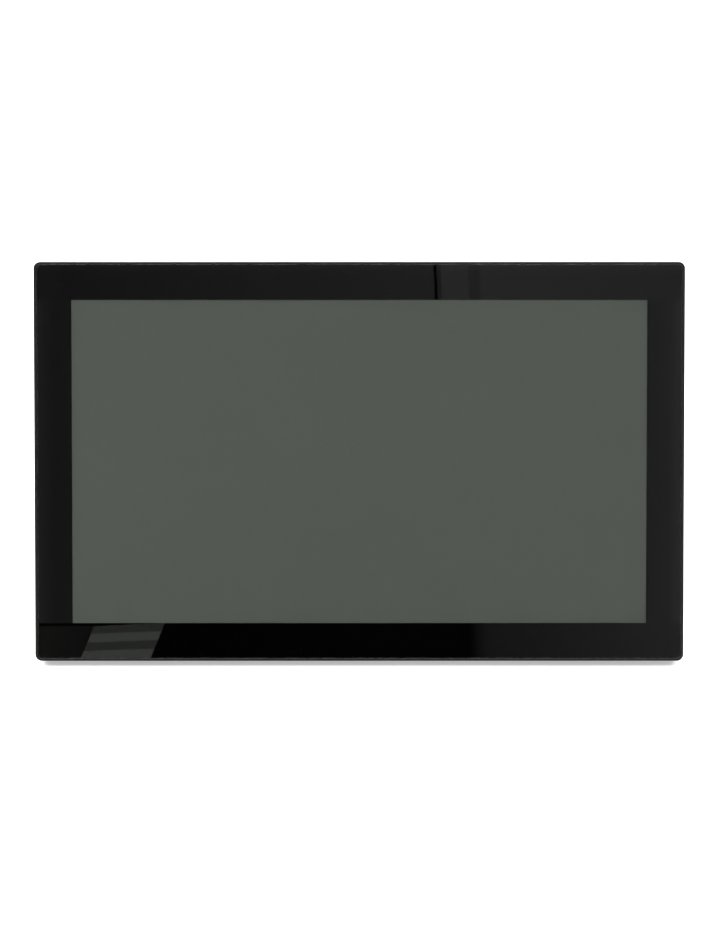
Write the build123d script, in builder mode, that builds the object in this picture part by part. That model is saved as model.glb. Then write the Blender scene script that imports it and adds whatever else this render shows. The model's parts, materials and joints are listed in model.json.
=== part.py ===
"""A 15.6 inch digital photo frame that leans back on a fold-out leg.

Everything in the housing is placed from the front of the glass: u runs across the screen, v up it,
and depth back from it. The row frame has +Z up, +Y to the rear, and its origin on the table, under
the middle of the object.
"""

import os
from math import cos, hypot, radians, sin, sqrt, tan

from build123d import *

os.makedirs("parts", exist_ok=True)

# ---------------------------------------------------------------- driving dimensions (mm, degrees)
# Screen and outline
screen_width = 344.2
screen_height = 193.6
side_border = 22.4
end_border = 22.7
corner_radius = 4.0

# How it stands
lean = 15.0  # of the screen, back from upright
leg_tilt = 15.0  # of the open leg, back from upright
foot_drop = 0.9  # table below the housing's lower rear edge

# Glass and what bonds it
glass_thickness = 2.0
mask_thickness = 0.15
tape_thickness = 0.85
tape_width = 8.0
gasket_thickness = 1.2
rim_width = 1.3  # frame lip that shows round the glass
rim_gap = 0.15
rim_round = 0.6

# Front frame and rear cover
frame_wall = 2.4
shelf_thickness = 2.0
parting_depth = 11.0
flange_back = 14.5
housing_depth = 34.0
cover_wall = 2.2
rear_round = 2.0
lip_height = 1.8
lip_thickness = 1.2
lip_clearance = 0.1
hump_side_inset = 44.5
hump_top_inset = 30.5
hump_bottom_inset = 18.5
hump_slope = 35.0
hump_corner = 14.0

# Screen module, front to back
module_side = 8.0  # from the picture to the module's edge
module_end = 9.2
module_clearance = 0.6
bezel_thickness = 0.4
cell_thickness = 1.2
film_thickness = 0.6
guide_thickness = 2.0
reflector_thickness = 0.2
tray_floor = 0.5
layer_gap = 0.1

# Main board and its sockets
board_width = 87.0
board_height = 84.0
board_thickness = 1.6
board_depth = 14.0  # its front face
port_wall = 2.0
port_wall_inset = 2.0  # from the edge of the hump's flat back
bay_half = 44.0
port_setback = 0.5  # socket mouths behind the wall's outer face

# Keys
key_radius = 4.5
key_clearance = 0.15
key_pitch = 14.0
key_count = 5
key_column_inset = 18.0
key_travel = 0.3
key_recess = 0.8

# Speakers
speaker_radius = 18.0
speaker_height = 12.0
magnet_radius = 10.0

# Leg and hinge
pin_v = 18.0
pin_radius = 2.0
pin_clearance = 0.05
leg_thickness = 9.0
leg_width = 40.0
leg_flush = 0.4  # folded leg below the hump's back
heel_length = 10.0
knuckle_half = 15.0
channel_half = 22.0
channel_clearance = 0.6
stop_clearance = 0.05
plate_thickness = 1.2
ear_thickness = 1.5
washer_thickness = 0.5
side_play = 0.3  # knuckle to washer, each side
pad_thickness = 2.0

# Fasteners and the wall mount
wall_mount_pitch = 75.0
insert_radius = 3.5
insert_bore = 1.65
insert_length = 8.0
screw_inset = 8.0
thread_clearance = 0.02

# ---------------------------------------------------------------- sizes that follow
width = screen_width + 2 * side_border
height = screen_height + 2 * end_border
shelf_front = glass_thickness + mask_thickness + tape_thickness
shelf_back = shelf_front + shelf_thickness
flange_inside = flange_back - cover_wall
hump_inside = housing_depth - cover_wall

module_width = screen_width + 2 * module_side
module_height = screen_height + 2 * module_end
module_front = glass_thickness + mask_thickness + gasket_thickness
cell_front = module_front + bezel_thickness
cell_back = cell_front + cell_thickness
film_front = cell_back + layer_gap
guide_front = film_front + film_thickness
reflector_front = guide_front + guide_thickness
tray_inside = reflector_front + reflector_thickness
module_back = tray_inside + tray_floor

hump_base_width = width - 2 * hump_side_inset
hump_base_height = height - hump_top_inset - hump_bottom_inset
hump_v = (hump_bottom_inset - hump_top_inset) / 2
hump_shrink = (housing_depth - flange_back) * tan(radians(hump_slope))
hump_half_width = hump_base_width / 2 - hump_shrink  # of the flat back
hump_half_height = hump_base_height / 2 - hump_shrink

# The main board stands against the wall that the sockets come through.
port_u = hump_half_width - port_wall_inset  # outer face of that wall
board_u = port_u - port_wall - 0.8 - board_width / 2
board_left = board_u - board_width / 2
panel_socket_u = board_left + 24.3  # the screen's cable runs straight down from it

# The table is foot_drop below the lowest point of the cover's rounded lower edge.
lower_edge_v = -height / 2 + rear_round
lower_edge_depth = flange_back - rear_round
face_height = foot_drop + rear_round - (
    lower_edge_v * cos(radians(lean)) - lower_edge_depth * sin(radians(lean))
)

pin_depth = housing_depth - leg_flush - leg_thickness / 2
pin_height = face_height + pin_v * cos(radians(lean)) - pin_depth * sin(radians(lean))
pin_behind = pin_v * sin(radians(lean)) + pin_depth * cos(radians(lean))
foremost = -(height / 2 - rim_round) * sin(radians(lean)) - rim_round * (1 - cos(radians(lean)))
leg_half_depth = leg_thickness / 2 / cos(radians(leg_tilt))
hindmost = pin_behind + pin_height * tan(radians(leg_tilt)) + leg_half_depth
fold_angle = lean + leg_tilt
ear_radius = leg_thickness / 2 - 0.3

# ---------------------------------------------------------------- planes
# The middle of the glass front; its normal points at the viewer.
face = Plane(
    origin=(0, -(foremost + hindmost) / 2, face_height),
    x_dir=(1, 0, 0),
    z_dir=(0, -cos(radians(lean)), sin(radians(lean))),
)
toward_viewer = Axis(face.origin, face.z_dir)
# Cross-section of the housing: local x is depth, local y is v, and the normal is +X.
section = Plane(origin=face.origin, x_dir=-face.z_dir, z_dir=(1, 0, 0))

pin_point = face.from_local_coords((0, pin_v, -pin_depth))
leg_out = (0, cos(radians(leg_tilt)), sin(radians(leg_tilt)))
# The leg's cross-section: local x is out through its thickness, local y is up along it.
leg_section = Plane(origin=pin_point, x_dir=leg_out, z_dir=(1, 0, 0))


def layer(depth):
    """A plane parallel to the screen, this far behind the front of the glass, facing the viewer."""
    return face.offset(-depth)


def save(built, name):
    """Labels a finished sub-part and writes its STEP file."""
    built.part.label = name
    export_step(built.part, f"parts/{name}.step")


# ================================================================ front glass, mask and bonds
glass_width = width - 2 * (rim_width + rim_gap)
glass_height = height - 2 * (rim_width + rim_gap)
glass_corner = corner_radius - rim_width

with BuildPart() as cover_glass:
    with BuildSketch(layer(0)):
        RectangleRounded(glass_width, glass_height, glass_corner)
    extrude(amount=-glass_thickness)
    chamfer(cover_glass.faces().sort_by(toward_viewer)[-1].edges(), 0.35)
save(cover_glass, "cover_glass")

mask_margin = 0.3
with BuildPart() as window_mask:
    with BuildSketch(layer(glass_thickness)):
        RectangleRounded(glass_width - 2 * mask_margin, glass_height - 2 * mask_margin, glass_corner)
        Rectangle(screen_width, screen_height, mode=Mode.SUBTRACT)
    extrude(amount=-mask_thickness)
save(window_mask, "window_mask")

tape_margin = 1.0
tape_front = glass_thickness + mask_thickness
with BuildPart() as glass_tape:
    with BuildSketch(layer(tape_front)):
        Rectangle(glass_width - 2 * tape_margin, glass_height - 2 * tape_margin)
        Rectangle(
            glass_width - 2 * (tape_margin + tape_width),
            glass_height - 2 * (tape_margin + tape_width),
            mode=Mode.SUBTRACT,
        )
    extrude(amount=-tape_thickness)
save(glass_tape, "glass_tape")

gasket_margin = 0.5
gasket_width = 4.5
with BuildPart() as screen_gasket:
    with BuildSketch(layer(tape_front)):
        Rectangle(module_width - 2 * gasket_margin, module_height - 2 * gasket_margin)
        Rectangle(
            module_width - 2 * (gasket_margin + gasket_width),
            module_height - 2 * (gasket_margin + gasket_width),
            mode=Mode.SUBTRACT,
        )
    extrude(amount=-gasket_thickness)
save(screen_gasket, "screen_gasket")

# ================================================================ front frame
# Cover screws: four corners, two more along the top and the bottom, one at each side.
screw_u = width / 2 - screw_inset
screw_v = height / 2 - screw_inset
cover_screw_spots = [
    (u, v) for u in (-screw_u, -screw_u / 3, screw_u / 3, screw_u) for v in (-screw_v, screw_v)
]
cover_screw_spots += [(-screw_u, 0), (screw_u, 0)]

cover_boss_radius = 3.5
cover_shank_radius = 1.3
boss_meet = parting_depth + 0.6  # where the frame's bosses meet the cover's

bracket_screw_u = module_width / 2 + 5.0
bracket_screw_v = screen_height / 4
bracket_screw_spots = [
    (u, v) for u in (-bracket_screw_u, bracket_screw_u) for v in (-bracket_screw_v, bracket_screw_v)
]
small_boss_radius = 2.5
small_shank_radius = 1.1
small_shank_length = 5.0
small_head_radius = 2.2
small_head_height = 1.5

with BuildPart() as front_frame:
    with BuildSketch(layer(0)):
        RectangleRounded(width, height, corner_radius)
    extrude(amount=-parting_depth)
    fillet(front_frame.faces().sort_by(toward_viewer)[-1].edges(), rim_round)
    # pocket that takes the glass
    with BuildSketch(layer(0)):
        RectangleRounded(width - 2 * rim_width, height - 2 * rim_width, glass_corner)
    extrude(amount=-shelf_front, mode=Mode.SUBTRACT)
    # opening that takes the screen module
    with BuildSketch(layer(shelf_front)):
        Rectangle(module_width + 2 * module_clearance, module_height + 2 * module_clearance)
    extrude(amount=-shelf_thickness, mode=Mode.SUBTRACT)
    # hollow behind the shelf
    with BuildSketch(layer(shelf_back)):
        RectangleRounded(width - 2 * frame_wall, height - 2 * frame_wall, corner_radius - frame_wall)
    extrude(amount=-(parting_depth - shelf_back), mode=Mode.SUBTRACT)
    # bosses for the cover screws and for the module's brackets
    with BuildSketch(layer(shelf_back)):
        with Locations(*cover_screw_spots):
            Circle(cover_boss_radius)
    extrude(amount=-(boss_meet - shelf_back))
    with BuildSketch(layer(boss_meet)):
        with Locations(*cover_screw_spots):
            Circle(cover_shank_radius + thread_clearance)
    extrude(amount=boss_meet - shelf_back, mode=Mode.SUBTRACT)
    with BuildSketch(layer(shelf_back)):
        with Locations(*bracket_screw_spots):
            Circle(small_boss_radius)
    extrude(amount=-(module_back - shelf_back))
    with BuildSketch(layer(module_back)):
        with Locations(*bracket_screw_spots):
            Circle(small_shank_radius + thread_clearance)
    extrude(amount=small_shank_length - 0.4, mode=Mode.SUBTRACT)
save(front_frame, "front_frame")

# ================================================================ screen module
bezel_window_margin = 1.5
flex_count = 4
flex_width = 22.0
flex_thickness = 0.12
flex_pitch = screen_width / flex_count
flex_depth = cell_front + 0.6
flex_spots = [((i - (flex_count - 1) / 2) * flex_pitch, 0) for i in range(flex_count)]
skirt_back = module_back - 0.6

with BuildPart() as screen_bezel:
    with BuildSketch(layer(module_front)):
        Rectangle(module_width, module_height)
    extrude(amount=-(skirt_back - module_front))
    with BuildSketch(layer(cell_front)):
        Rectangle(module_width - 2 * bezel_thickness, module_height - 2 * bezel_thickness)
    extrude(amount=-(skirt_back - cell_front), mode=Mode.SUBTRACT)
    with BuildSketch(layer(module_front)):
        Rectangle(screen_width + 2 * bezel_window_margin, screen_height + 2 * bezel_window_margin)
    extrude(amount=-bezel_thickness, mode=Mode.SUBTRACT)
    # notches in the lower skirt for the driver flexes
    with BuildSketch(layer(cell_front)):
        with Locations((0, -module_height / 2)):
            with Locations(*flex_spots):
                Rectangle(flex_width + 2, 4 * bezel_thickness)
    extrude(amount=-(skirt_back - cell_front), mode=Mode.SUBTRACT)
save(screen_bezel, "screen_bezel")

cell_side = 5.0
cell_end = 4.0
with BuildPart() as screen_cell:
    with BuildSketch(layer(cell_front)):
        Rectangle(screen_width + 2 * cell_side, screen_height + 2 * cell_end)
    extrude(amount=-cell_thickness)
save(screen_cell, "screen_cell")

# The light guide sits above the light strip, in a tray that also carries the cell's edge.
tray_clearance = 0.4
tray_width = module_width - 2 * (bezel_thickness + layer_gap)
tray_height = module_height - 2 * (bezel_thickness + layer_gap)
light_width = screen_width + 4.0
light_height = screen_height + 2.0
strip_space = 2.0
light_v = 0.8
tray_hollow_width = light_width + 2 * tray_clearance
tray_hollow_height = light_height + tray_clearance + strip_space
tray_hollow_v = light_v + (tray_clearance - strip_space) / 2

for thing, front, thick in (
    ("optical_films", film_front, film_thickness),
    ("light_guide", guide_front, guide_thickness),
    ("reflector_sheet", reflector_front, reflector_thickness),
):
    with BuildPart() as sheet:
        with BuildSketch(layer(front)):
            with Locations((0, light_v)):
                Rectangle(light_width, light_height)
        extrude(amount=-thick)
    save(sheet, thing)

with BuildPart() as screen_tray:
    with BuildSketch(layer(cell_back + layer_gap / 2)):
        Rectangle(tray_width, tray_height)
    extrude(amount=-(module_back - cell_back - layer_gap / 2))
    with BuildSketch(layer(cell_back + layer_gap / 2)):
        with Locations((0, tray_hollow_v)):
            Rectangle(tray_hollow_width, tray_hollow_height)
    extrude(amount=-(tray_inside - cell_back - layer_gap / 2), mode=Mode.SUBTRACT)
save(screen_tray, "screen_tray")

strip_board = 0.4
led_count = 36
led_length = 4.0
led_height = 1.5
led_thickness = 1.2
strip_floor_v = light_v - light_height / 2 - strip_space
led_pitch = light_width / led_count
with BuildPart() as light_strip:
    with BuildSketch(layer(guide_front)):
        with Locations((0, strip_floor_v + strip_board / 2)):
            Rectangle(light_width, strip_board)
    extrude(amount=-guide_thickness)
    with BuildSketch(layer(guide_front + (guide_thickness - led_height) / 2)):
        with Locations((0, strip_floor_v + strip_board + led_thickness / 2)):
            with GridLocations(led_pitch, 1, led_count, 1):
                Rectangle(led_length, led_thickness)
    extrude(amount=-led_height)
save(light_strip, "light_strip")

# The source board lies on the tray's back, along the bottom.
source_front = module_back + layer_gap
source_thickness = 0.8
source_back = source_front + source_thickness
source_height = 9.0
source_length = screen_width - 34.0
source_v = -module_height / 2 + 2.0 + source_height / 2
source_chip_height = 1.0
panel_socket_width = 16.0
panel_socket_height = 2.2
with BuildPart() as source_board:
    with BuildSketch(layer(source_front)):
        with Locations((0, source_v)):
            Rectangle(source_length, source_height)
    extrude(amount=-source_thickness)
    with BuildSketch(layer(source_back)):
        with Locations((-source_length / 5, source_v), (source_length / 3, source_v)):
            Rectangle(8, 5)
    extrude(amount=-source_chip_height)
    with BuildSketch(layer(source_back)):
        with Locations((panel_socket_u, source_v)):
            Rectangle(panel_socket_width + 3, 5)
    extrude(amount=-panel_socket_height)
save(source_board, "source_board")

# Each flex leaves the cell's lower edge, turns round the module and ends on the source board's edge.
flex_low = -module_height / 2 - module_clearance / 2
flex_start = -screen_height / 2 - cell_end
flex_end_depth = source_front + source_thickness / 2
with BuildPart() as driver_flexes:
    for u, _ in flex_spots:
        with BuildSketch(section.offset(u)):
            with BuildLine():
                FilletPolyline(
                    (flex_depth, flex_start),
                    (flex_depth, flex_low),
                    (flex_end_depth, flex_low),
                    (flex_end_depth, source_v - source_height / 2),
                    radius=1.0,
                )
            trace(line_width=flex_thickness)
        extrude(amount=flex_width / 2, both=True)
save(driver_flexes, "driver_flexes")

bracket_thickness = 0.8
bracket_overlap = 4.0
bracket_reach = 9.0
bracket_flange = 3.0
bracket_length = 44.0
with BuildPart() as module_brackets:
    for way in (-1, 1):
        with BuildSketch(layer(module_back)):
            with Locations((way * (module_width / 2 + (bracket_reach - bracket_overlap) / 2), 0)):
                with GridLocations(1, 2 * bracket_screw_v, 1, 2):
                    RectangleRounded(bracket_reach + bracket_overlap, bracket_length, 2.0)
        extrude(amount=-bracket_thickness)
        with BuildSketch(layer(module_back)):
            with Locations((way * (module_width / 2 + 0.1 + bracket_thickness / 2), 0)):
                with GridLocations(1, 2 * bracket_screw_v, 1, 2):
                    Rectangle(bracket_thickness, bracket_length - 8)
        extrude(amount=bracket_flange)
    with BuildSketch(layer(module_back)):
        with Locations(*bracket_screw_spots):
            Circle(small_shank_radius + 0.2)
    extrude(amount=-bracket_thickness, mode=Mode.SUBTRACT)
save(module_brackets, "module_brackets")

# ================================================================ places inside the hump
speaker_u = hump_half_width - speaker_radius - 13.0
speaker_v = hump_v - hump_half_height + speaker_radius + 5.5
speaker_spots = [(-speaker_u, speaker_v), (speaker_u, speaker_v)]
speaker_stand = 3.0  # ring rib under each speaker
speaker_seat = hump_inside - speaker_stand
speaker_ear = speaker_radius + 3.0
speaker_screw_spots = [(u + way * speaker_ear, v) for u, v in speaker_spots for way in (-1, 1)]

# Three cables cross the housing between the speakers and the boards, each in its own lane.
lane_pitch = 2.5
left_lane = speaker_v + speaker_radius + 2.0
right_lane = left_lane + lane_pitch
key_lane = right_lane + lane_pitch

board_low = key_lane + 2.85
board_v = board_low + board_height / 2
bay_v = board_v
board_back = board_depth + board_thickness
board_high = board_v + board_height / 2
board_screw_spots = [
    (u, v) for u in (board_left + 4, board_left + 55) for v in (board_low + 4, board_high - 4)
]

key_u = -(hump_half_width - key_column_inset)
key_spots = [(key_u, bay_v + (i - (key_count - 1) / 2) * key_pitch) for i in range(key_count)]
key_column = (key_count - 1) * key_pitch
key_board_half = key_column / 2 + 13.5
key_floor = housing_depth - key_recess
key_flange = 1.0
switch_size = 6.2
switch_height = 3.5
plunger_radius = 1.7
plunger_show = 0.85
plunger_engage = 1.2  # of the plunger in its switch
key_flange_front = hump_inside - 0.05 - key_flange
switch_back = key_flange_front - plunger_show
key_board_back = switch_back - switch_height
key_board_thickness = 1.6
key_board_front = key_board_back - key_board_thickness
key_screw_spots = [(key_u, bay_v + way * (key_board_half - 4.0)) for way in (-1, 1)]

wall_mount_half = wall_mount_pitch / 2
wall_mount_spots = [
    (u, v) for u in (-wall_mount_half, wall_mount_half) for v in (-wall_mount_half, wall_mount_half)
]

# ---------------------------------------------------------------- the leg's channel, in cross-section
leg_inner = leg_thickness / 2 + stop_clearance
channel_floor = pin_depth - leg_thickness / 2 - channel_clearance
swing = hypot(heel_length, leg_thickness / 2) + 0.4  # radius that the heel sweeps, with clearance
fold_sin = sin(radians(fold_angle))
fold_cos = cos(radians(fold_angle))


def ramp_point(along):
    """A point on the stop ramp that the open leg's heel rests on, as (depth, v)."""
    return (
        pin_depth - leg_inner * fold_cos - along * fold_sin,
        pin_v - leg_inner * fold_sin + along * fold_cos,
    )


ramp_start = (pin_depth - channel_floor - leg_inner * fold_cos) / fold_sin
channel_outline = [
    (channel_floor, -height),
    ramp_point(ramp_start),
    ramp_point(swing),
    (pin_depth - leg_thickness / 2 - 1.0, pin_v + swing),
    (housing_depth + 10, pin_v + swing),
    (housing_depth + 10, -height),
]

ear_inside = knuckle_half + side_play + washer_thickness
ear_outside = ear_inside + ear_thickness
plate_low = pin_v - 20.0
plate_high = pin_v + ramp_point(ramp_start)[1] - pin_v - 0.3
plate_front = channel_floor - plate_thickness
hinge_screw_spots = [(u, pin_v - 14.0) for u in (-9.0, 9.0)]
hinge_shank_radius = 1.5
hinge_shank_length = 8.0

# ================================================================ rear cover
keyhole_u = 84.0
keyhole_v = hump_v + hump_half_height - 19.0
keyhole_spots = [(-keyhole_u, keyhole_v), (keyhole_u, keyhole_v)]
keyhole_entry = 5.0  # radius that a screw head passes
keyhole_slot = 4.6
keyhole_rise = 10.0
keyhole_pocket = 6.0  # depth behind the wall
pocket_wall = 1.5

vent_width = 3.0
vent_pitch = 7.0
top_vent_count = 17
top_vent_length = 14.0
top_vent_v = hump_v + hump_half_height - 15.0
side_vent_count = 6
side_vent_length = 34.0
side_vent_u = 79.0

counterbore_radius = 3.2
counterbore_depth = 1.6
cover_seat = flange_back - counterbore_depth

# Sockets, as (v, size through depth, size along v) of the opening in the wall
port_mouth = port_u - port_setback
dc_v = board_high - 10.0
video_v = dc_v - 17.0
usb_v = video_v - 17.0
card_v = usb_v - 24.0
dc_high, dc_wide, dc_long = 11.0, 9.0, 14.0
video_high, video_wide, video_long = 5.9, 14.8, 11.5
usb_high, usb_wide, usb_long = 5.8, 13.2, 14.0
card_high, card_wide, card_long = 3.0, 28.0, 27.0
window_margin = 0.4
port_sizes = (
    (dc_v, dc_high, dc_wide),
    (video_v, video_high, video_wide),
    (usb_v, usb_high, usb_wide),
    (card_v, card_high, card_wide),
)

# The space inside the cover. What is left out of it stands as walls, pockets and bosses.
slope_wall = cover_wall / cos(radians(hump_slope))
slope_gain = cover_wall * tan(radians(hump_slope))
hollow_width = hump_base_width + 2 * (slope_gain - slope_wall)
hollow_height = hump_base_height + 2 * (slope_gain - slope_wall)

lip_outside = frame_wall + lip_clearance
lip_inside = lip_outside + lip_thickness

with BuildPart() as cover_hollow:
    with BuildSketch(layer(parting_depth)):
        Rectangle(width - 2 * lip_inside, height - 2 * lip_inside)
    extrude(amount=-(flange_inside - parting_depth))
    with BuildSketch(layer(flange_inside)):
        with Locations((0, hump_v)):
            RectangleRounded(hollow_width, hollow_height, hump_corner)
    extrude(amount=-(hump_inside - flange_inside), taper=hump_slope)
    # walls of the leg's channel
    with BuildSketch(section):
        Polygon(*channel_outline, align=None)
        offset(amount=cover_wall, kind=Kind.INTERSECTION)
    extrude(amount=channel_half + cover_wall, both=True, mode=Mode.SUBTRACT)
    # block under the hinge plate, with its screw bosses
    with BuildSketch(layer(plate_front - cover_wall)):
        with Locations((0, (plate_low + plate_high) / 2)):
            Rectangle(2 * (ear_outside + cover_wall), plate_high - plate_low + 2 * cover_wall)
    extrude(amount=-housing_depth, mode=Mode.SUBTRACT)
    with BuildSketch(layer(plate_front - hinge_shank_length)):
        with Locations(*hinge_screw_spots):
            Circle(cover_boss_radius)
    extrude(amount=-housing_depth, mode=Mode.SUBTRACT)
    # wall of the socket bay
    with BuildSketch(layer(flange_inside)):
        with Locations((port_u - port_wall + width / 2, bay_v)):
            Rectangle(width, 2 * (bay_half + cover_wall))
    extrude(amount=-housing_depth, mode=Mode.SUBTRACT)
    # pockets behind the keyholes
    with BuildSketch(layer(hump_inside - keyhole_pocket - pocket_wall)):
        with Locations(*keyhole_spots):
            with Locations((0, keyhole_rise / 2)):
                Rectangle(
                    2 * (keyhole_entry + 1.0 + pocket_wall),
                    keyhole_rise + 2 * (keyhole_entry + 1.0 + pocket_wall),
                )
    extrude(amount=-housing_depth, mode=Mode.SUBTRACT)
    # bosses: wall-mount inserts, main board, key board, speakers
    for spots, radius, front in (
        (wall_mount_spots, insert_radius + 1.6, housing_depth - insert_length - 2.0),
        (board_screw_spots, small_boss_radius + 0.5, board_back),
        (key_screw_spots, small_boss_radius, key_board_back),
        (speaker_spots, speaker_radius, speaker_seat),
        (speaker_screw_spots, small_boss_radius, speaker_seat),
    ):
        with BuildSketch(layer(front)):
            with Locations(*spots):
                Circle(radius)
        extrude(amount=-housing_depth, mode=Mode.SUBTRACT)
    # each speaker's ring rib is hollow, so that its sound reaches the grille
    with BuildSketch(layer(speaker_seat)):
        with Locations(*speaker_spots):
            Circle(speaker_radius - 3.0)
    extrude(amount=-speaker_stand)
    # bosses that meet the front frame's
    with BuildSketch(layer(boss_meet)):
        with Locations(*cover_screw_spots):
            Circle(cover_boss_radius)
    extrude(amount=-housing_depth, mode=Mode.SUBTRACT)

with BuildPart() as rear_cover:
    with BuildSketch(layer(parting_depth)):
        RectangleRounded(width, height, corner_radius)
    extrude(amount=-(flange_back - parting_depth))
    fillet(rear_cover.faces().sort_by(toward_viewer)[0].edges(), rear_round)
    chamfer(rear_cover.faces().sort_by(toward_viewer)[-1].edges(), 0.3)
    with BuildSketch(layer(flange_back)):
        with Locations((0, hump_v)):
            RectangleRounded(hump_base_width, hump_base_height, hump_corner + 1.0)
    extrude(amount=-(housing_depth - flange_back), taper=hump_slope)
    fillet(rear_cover.faces().sort_by(toward_viewer)[0].edges(), 2.0)
    # tongue inside the front frame's wall
    with BuildSketch(layer(parting_depth)):
        RectangleRounded(width - 2 * lip_outside, height - 2 * lip_outside, corner_radius - lip_outside)
    extrude(amount=lip_height)
    with BuildSketch(layer(parting_depth - lip_height)):
        Rectangle(width - 2 * lip_inside, height - 2 * lip_inside)
    extrude(amount=-lip_height, mode=Mode.SUBTRACT)
    add(cover_hollow.part, mode=Mode.SUBTRACT)
    # the leg's channel, and the seat for the hinge plate
    with BuildSketch(section):
        Polygon(*channel_outline, align=None)
    extrude(amount=channel_half, both=True, mode=Mode.SUBTRACT)
    with BuildSketch(layer(plate_front)):
        with Locations((0, (plate_low + plate_high) / 2)):
            Rectangle(2 * ear_outside, plate_high - plate_low)
    extrude(amount=-2 * plate_thickness, mode=Mode.SUBTRACT)
    with BuildSketch(layer(plate_front)):
        with Locations(*hinge_screw_spots):
            Circle(hinge_shank_radius + thread_clearance)
    extrude(amount=hinge_shank_length - 1.0, mode=Mode.SUBTRACT)
    # socket bay and the windows in its wall
    with BuildSketch(layer(flange_back)):
        with Locations((port_u + width / 2, bay_v)):
            Rectangle(width, 2 * bay_half)
    extrude(amount=-housing_depth, mode=Mode.SUBTRACT)
    with BuildSketch(section.offset(port_u)):
        for v, high, wide in port_sizes:
            with Locations((board_back + high / 2, v)):
                Rectangle(high + 2 * window_margin, wide + 2 * window_margin)
    extrude(amount=-2 * port_wall, mode=Mode.SUBTRACT)
    # keyholes: the pocket, the entry and the slot above it
    with BuildSketch(layer(hump_inside - keyhole_pocket)):
        with Locations(*keyhole_spots):
            with Locations((0, keyhole_rise / 2)):
                Rectangle(2 * (keyhole_entry + 1.0), keyhole_rise + 2 * (keyhole_entry + 1.0))
    extrude(amount=-keyhole_pocket, mode=Mode.SUBTRACT)
    with BuildSketch(layer(hump_inside)):
        with Locations(*keyhole_spots):
            Circle(keyhole_entry)
            with Locations((0, keyhole_rise / 2)):
                SlotCenterToCenter(keyhole_rise, keyhole_slot, rotation=90)
    extrude(amount=-2 * cover_wall, mode=Mode.SUBTRACT)
    # vents and speaker grilles
    with BuildSketch(layer(hump_inside)):
        with Locations((0, top_vent_v)):
            with GridLocations(vent_pitch, 1, top_vent_count, 1):
                SlotOverall(top_vent_length, vent_width, rotation=90)
        with Locations((-side_vent_u, bay_v), (side_vent_u, bay_v)):
            with GridLocations(vent_pitch, 1, side_vent_count, 1):
                SlotOverall(side_vent_length, vent_width, rotation=90)
    extrude(amount=-2 * cover_wall, mode=Mode.SUBTRACT)
    with BuildSketch(layer(hump_inside)):
        for row in range(-3, 4):
            reach = sqrt((speaker_radius - 4.0) ** 2 - (row * 4.0) ** 2)
            with Locations(*[(u, v + row * 4.0) for u, v in speaker_spots]):
                SlotOverall(2 * reach, 1.8)
    extrude(amount=-2 * cover_wall, mode=Mode.SUBTRACT)
    # key recess and its holes
    with BuildSketch(layer(key_floor)):
        with Locations((key_u, bay_v)):
            RectangleRounded(2 * key_radius + 5, key_column + 2 * key_radius + 5, key_radius + 2.4)
    extrude(amount=-2 * key_recess, mode=Mode.SUBTRACT)
    with BuildSketch(layer(hump_inside)):
        with Locations(*key_spots):
            Circle(key_radius + key_clearance)
    extrude(amount=-2 * cover_wall, mode=Mode.SUBTRACT)
    # wall-mount inserts
    with BuildSketch(layer(housing_depth - insert_length)):
        with Locations(*wall_mount_spots):
            Circle(insert_radius)
    extrude(amount=-2 * insert_length, mode=Mode.SUBTRACT)
    # cover screws
    with BuildSketch(layer(cover_seat)):
        with Locations(*cover_screw_spots):
            Circle(counterbore_radius)
    extrude(amount=-2 * counterbore_depth, mode=Mode.SUBTRACT)
    with BuildSketch(layer(boss_meet)):
        with Locations(*cover_screw_spots):
            Circle(cover_shank_radius + 0.2)
    extrude(amount=-2 * cover_wall, mode=Mode.SUBTRACT)
    # pilot holes: main board, key board, speakers
    for spots, front, deep in (
        (board_screw_spots, board_back, small_shank_length),
        (key_screw_spots, key_board_back, small_shank_length),
        (speaker_screw_spots, speaker_seat, small_shank_length - 0.8),
    ):
        with BuildSketch(layer(front)):
            with Locations(*spots):
                Circle(small_shank_radius + thread_clearance)
        extrude(amount=-deep, mode=Mode.SUBTRACT)
save(rear_cover, "rear_cover")

# ================================================================ feet and wall-mount inserts
foot_u = width / 3
foot_length = 28.0
foot_start = parting_depth + 0.4
foot_wrap = 1.2  # how far it stands off the cover's back
foot_rise = 7.0


def table_line(depth):
    """The table's height in the cross-section, as v, at this depth behind the glass."""
    return (depth * sin(radians(lean)) - face_height) / cos(radians(lean))


with BuildPart() as rubber_feet:
    for u in (-foot_u, foot_u):
        with BuildSketch(section.offset(u)):
            foot_back = flange_back + foot_wrap
            Polygon(
                (foot_start, table_line(foot_start)),
                (foot_back, table_line(foot_back)),
                (foot_back, -height / 2 + foot_rise),
                (foot_start, -height / 2 + foot_rise),
                align=None,
            )
            # the cover's rounded edge, which the foot is bonded round
            with Locations((flange_back / 2, 0)):
                RectangleRounded(flange_back, height, rear_round, mode=Mode.SUBTRACT)
        extrude(amount=foot_length / 2, both=True)
save(rubber_feet, "rubber_feet")

with BuildPart() as wall_mount_inserts:
    with BuildSketch(layer(housing_depth - insert_length)):
        with Locations(*wall_mount_spots):
            Circle(insert_radius - thread_clearance)
    extrude(amount=-(insert_length - 0.1))
    for groove in (0.3, 0.65):
        with BuildSketch(layer(housing_depth - groove * insert_length)):
            with Locations(*wall_mount_spots):
                Circle(insert_radius)
                Circle(insert_radius - 0.5, mode=Mode.SUBTRACT)
        extrude(amount=-0.8, mode=Mode.SUBTRACT)
    with BuildSketch(layer(housing_depth - insert_length)):
        with Locations(*wall_mount_spots):
            Circle(insert_bore)
    extrude(amount=-insert_length, mode=Mode.SUBTRACT)
save(wall_mount_inserts, "wall_mount_inserts")

# ================================================================ screws
speaker_ear_thickness = 1.6


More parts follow.
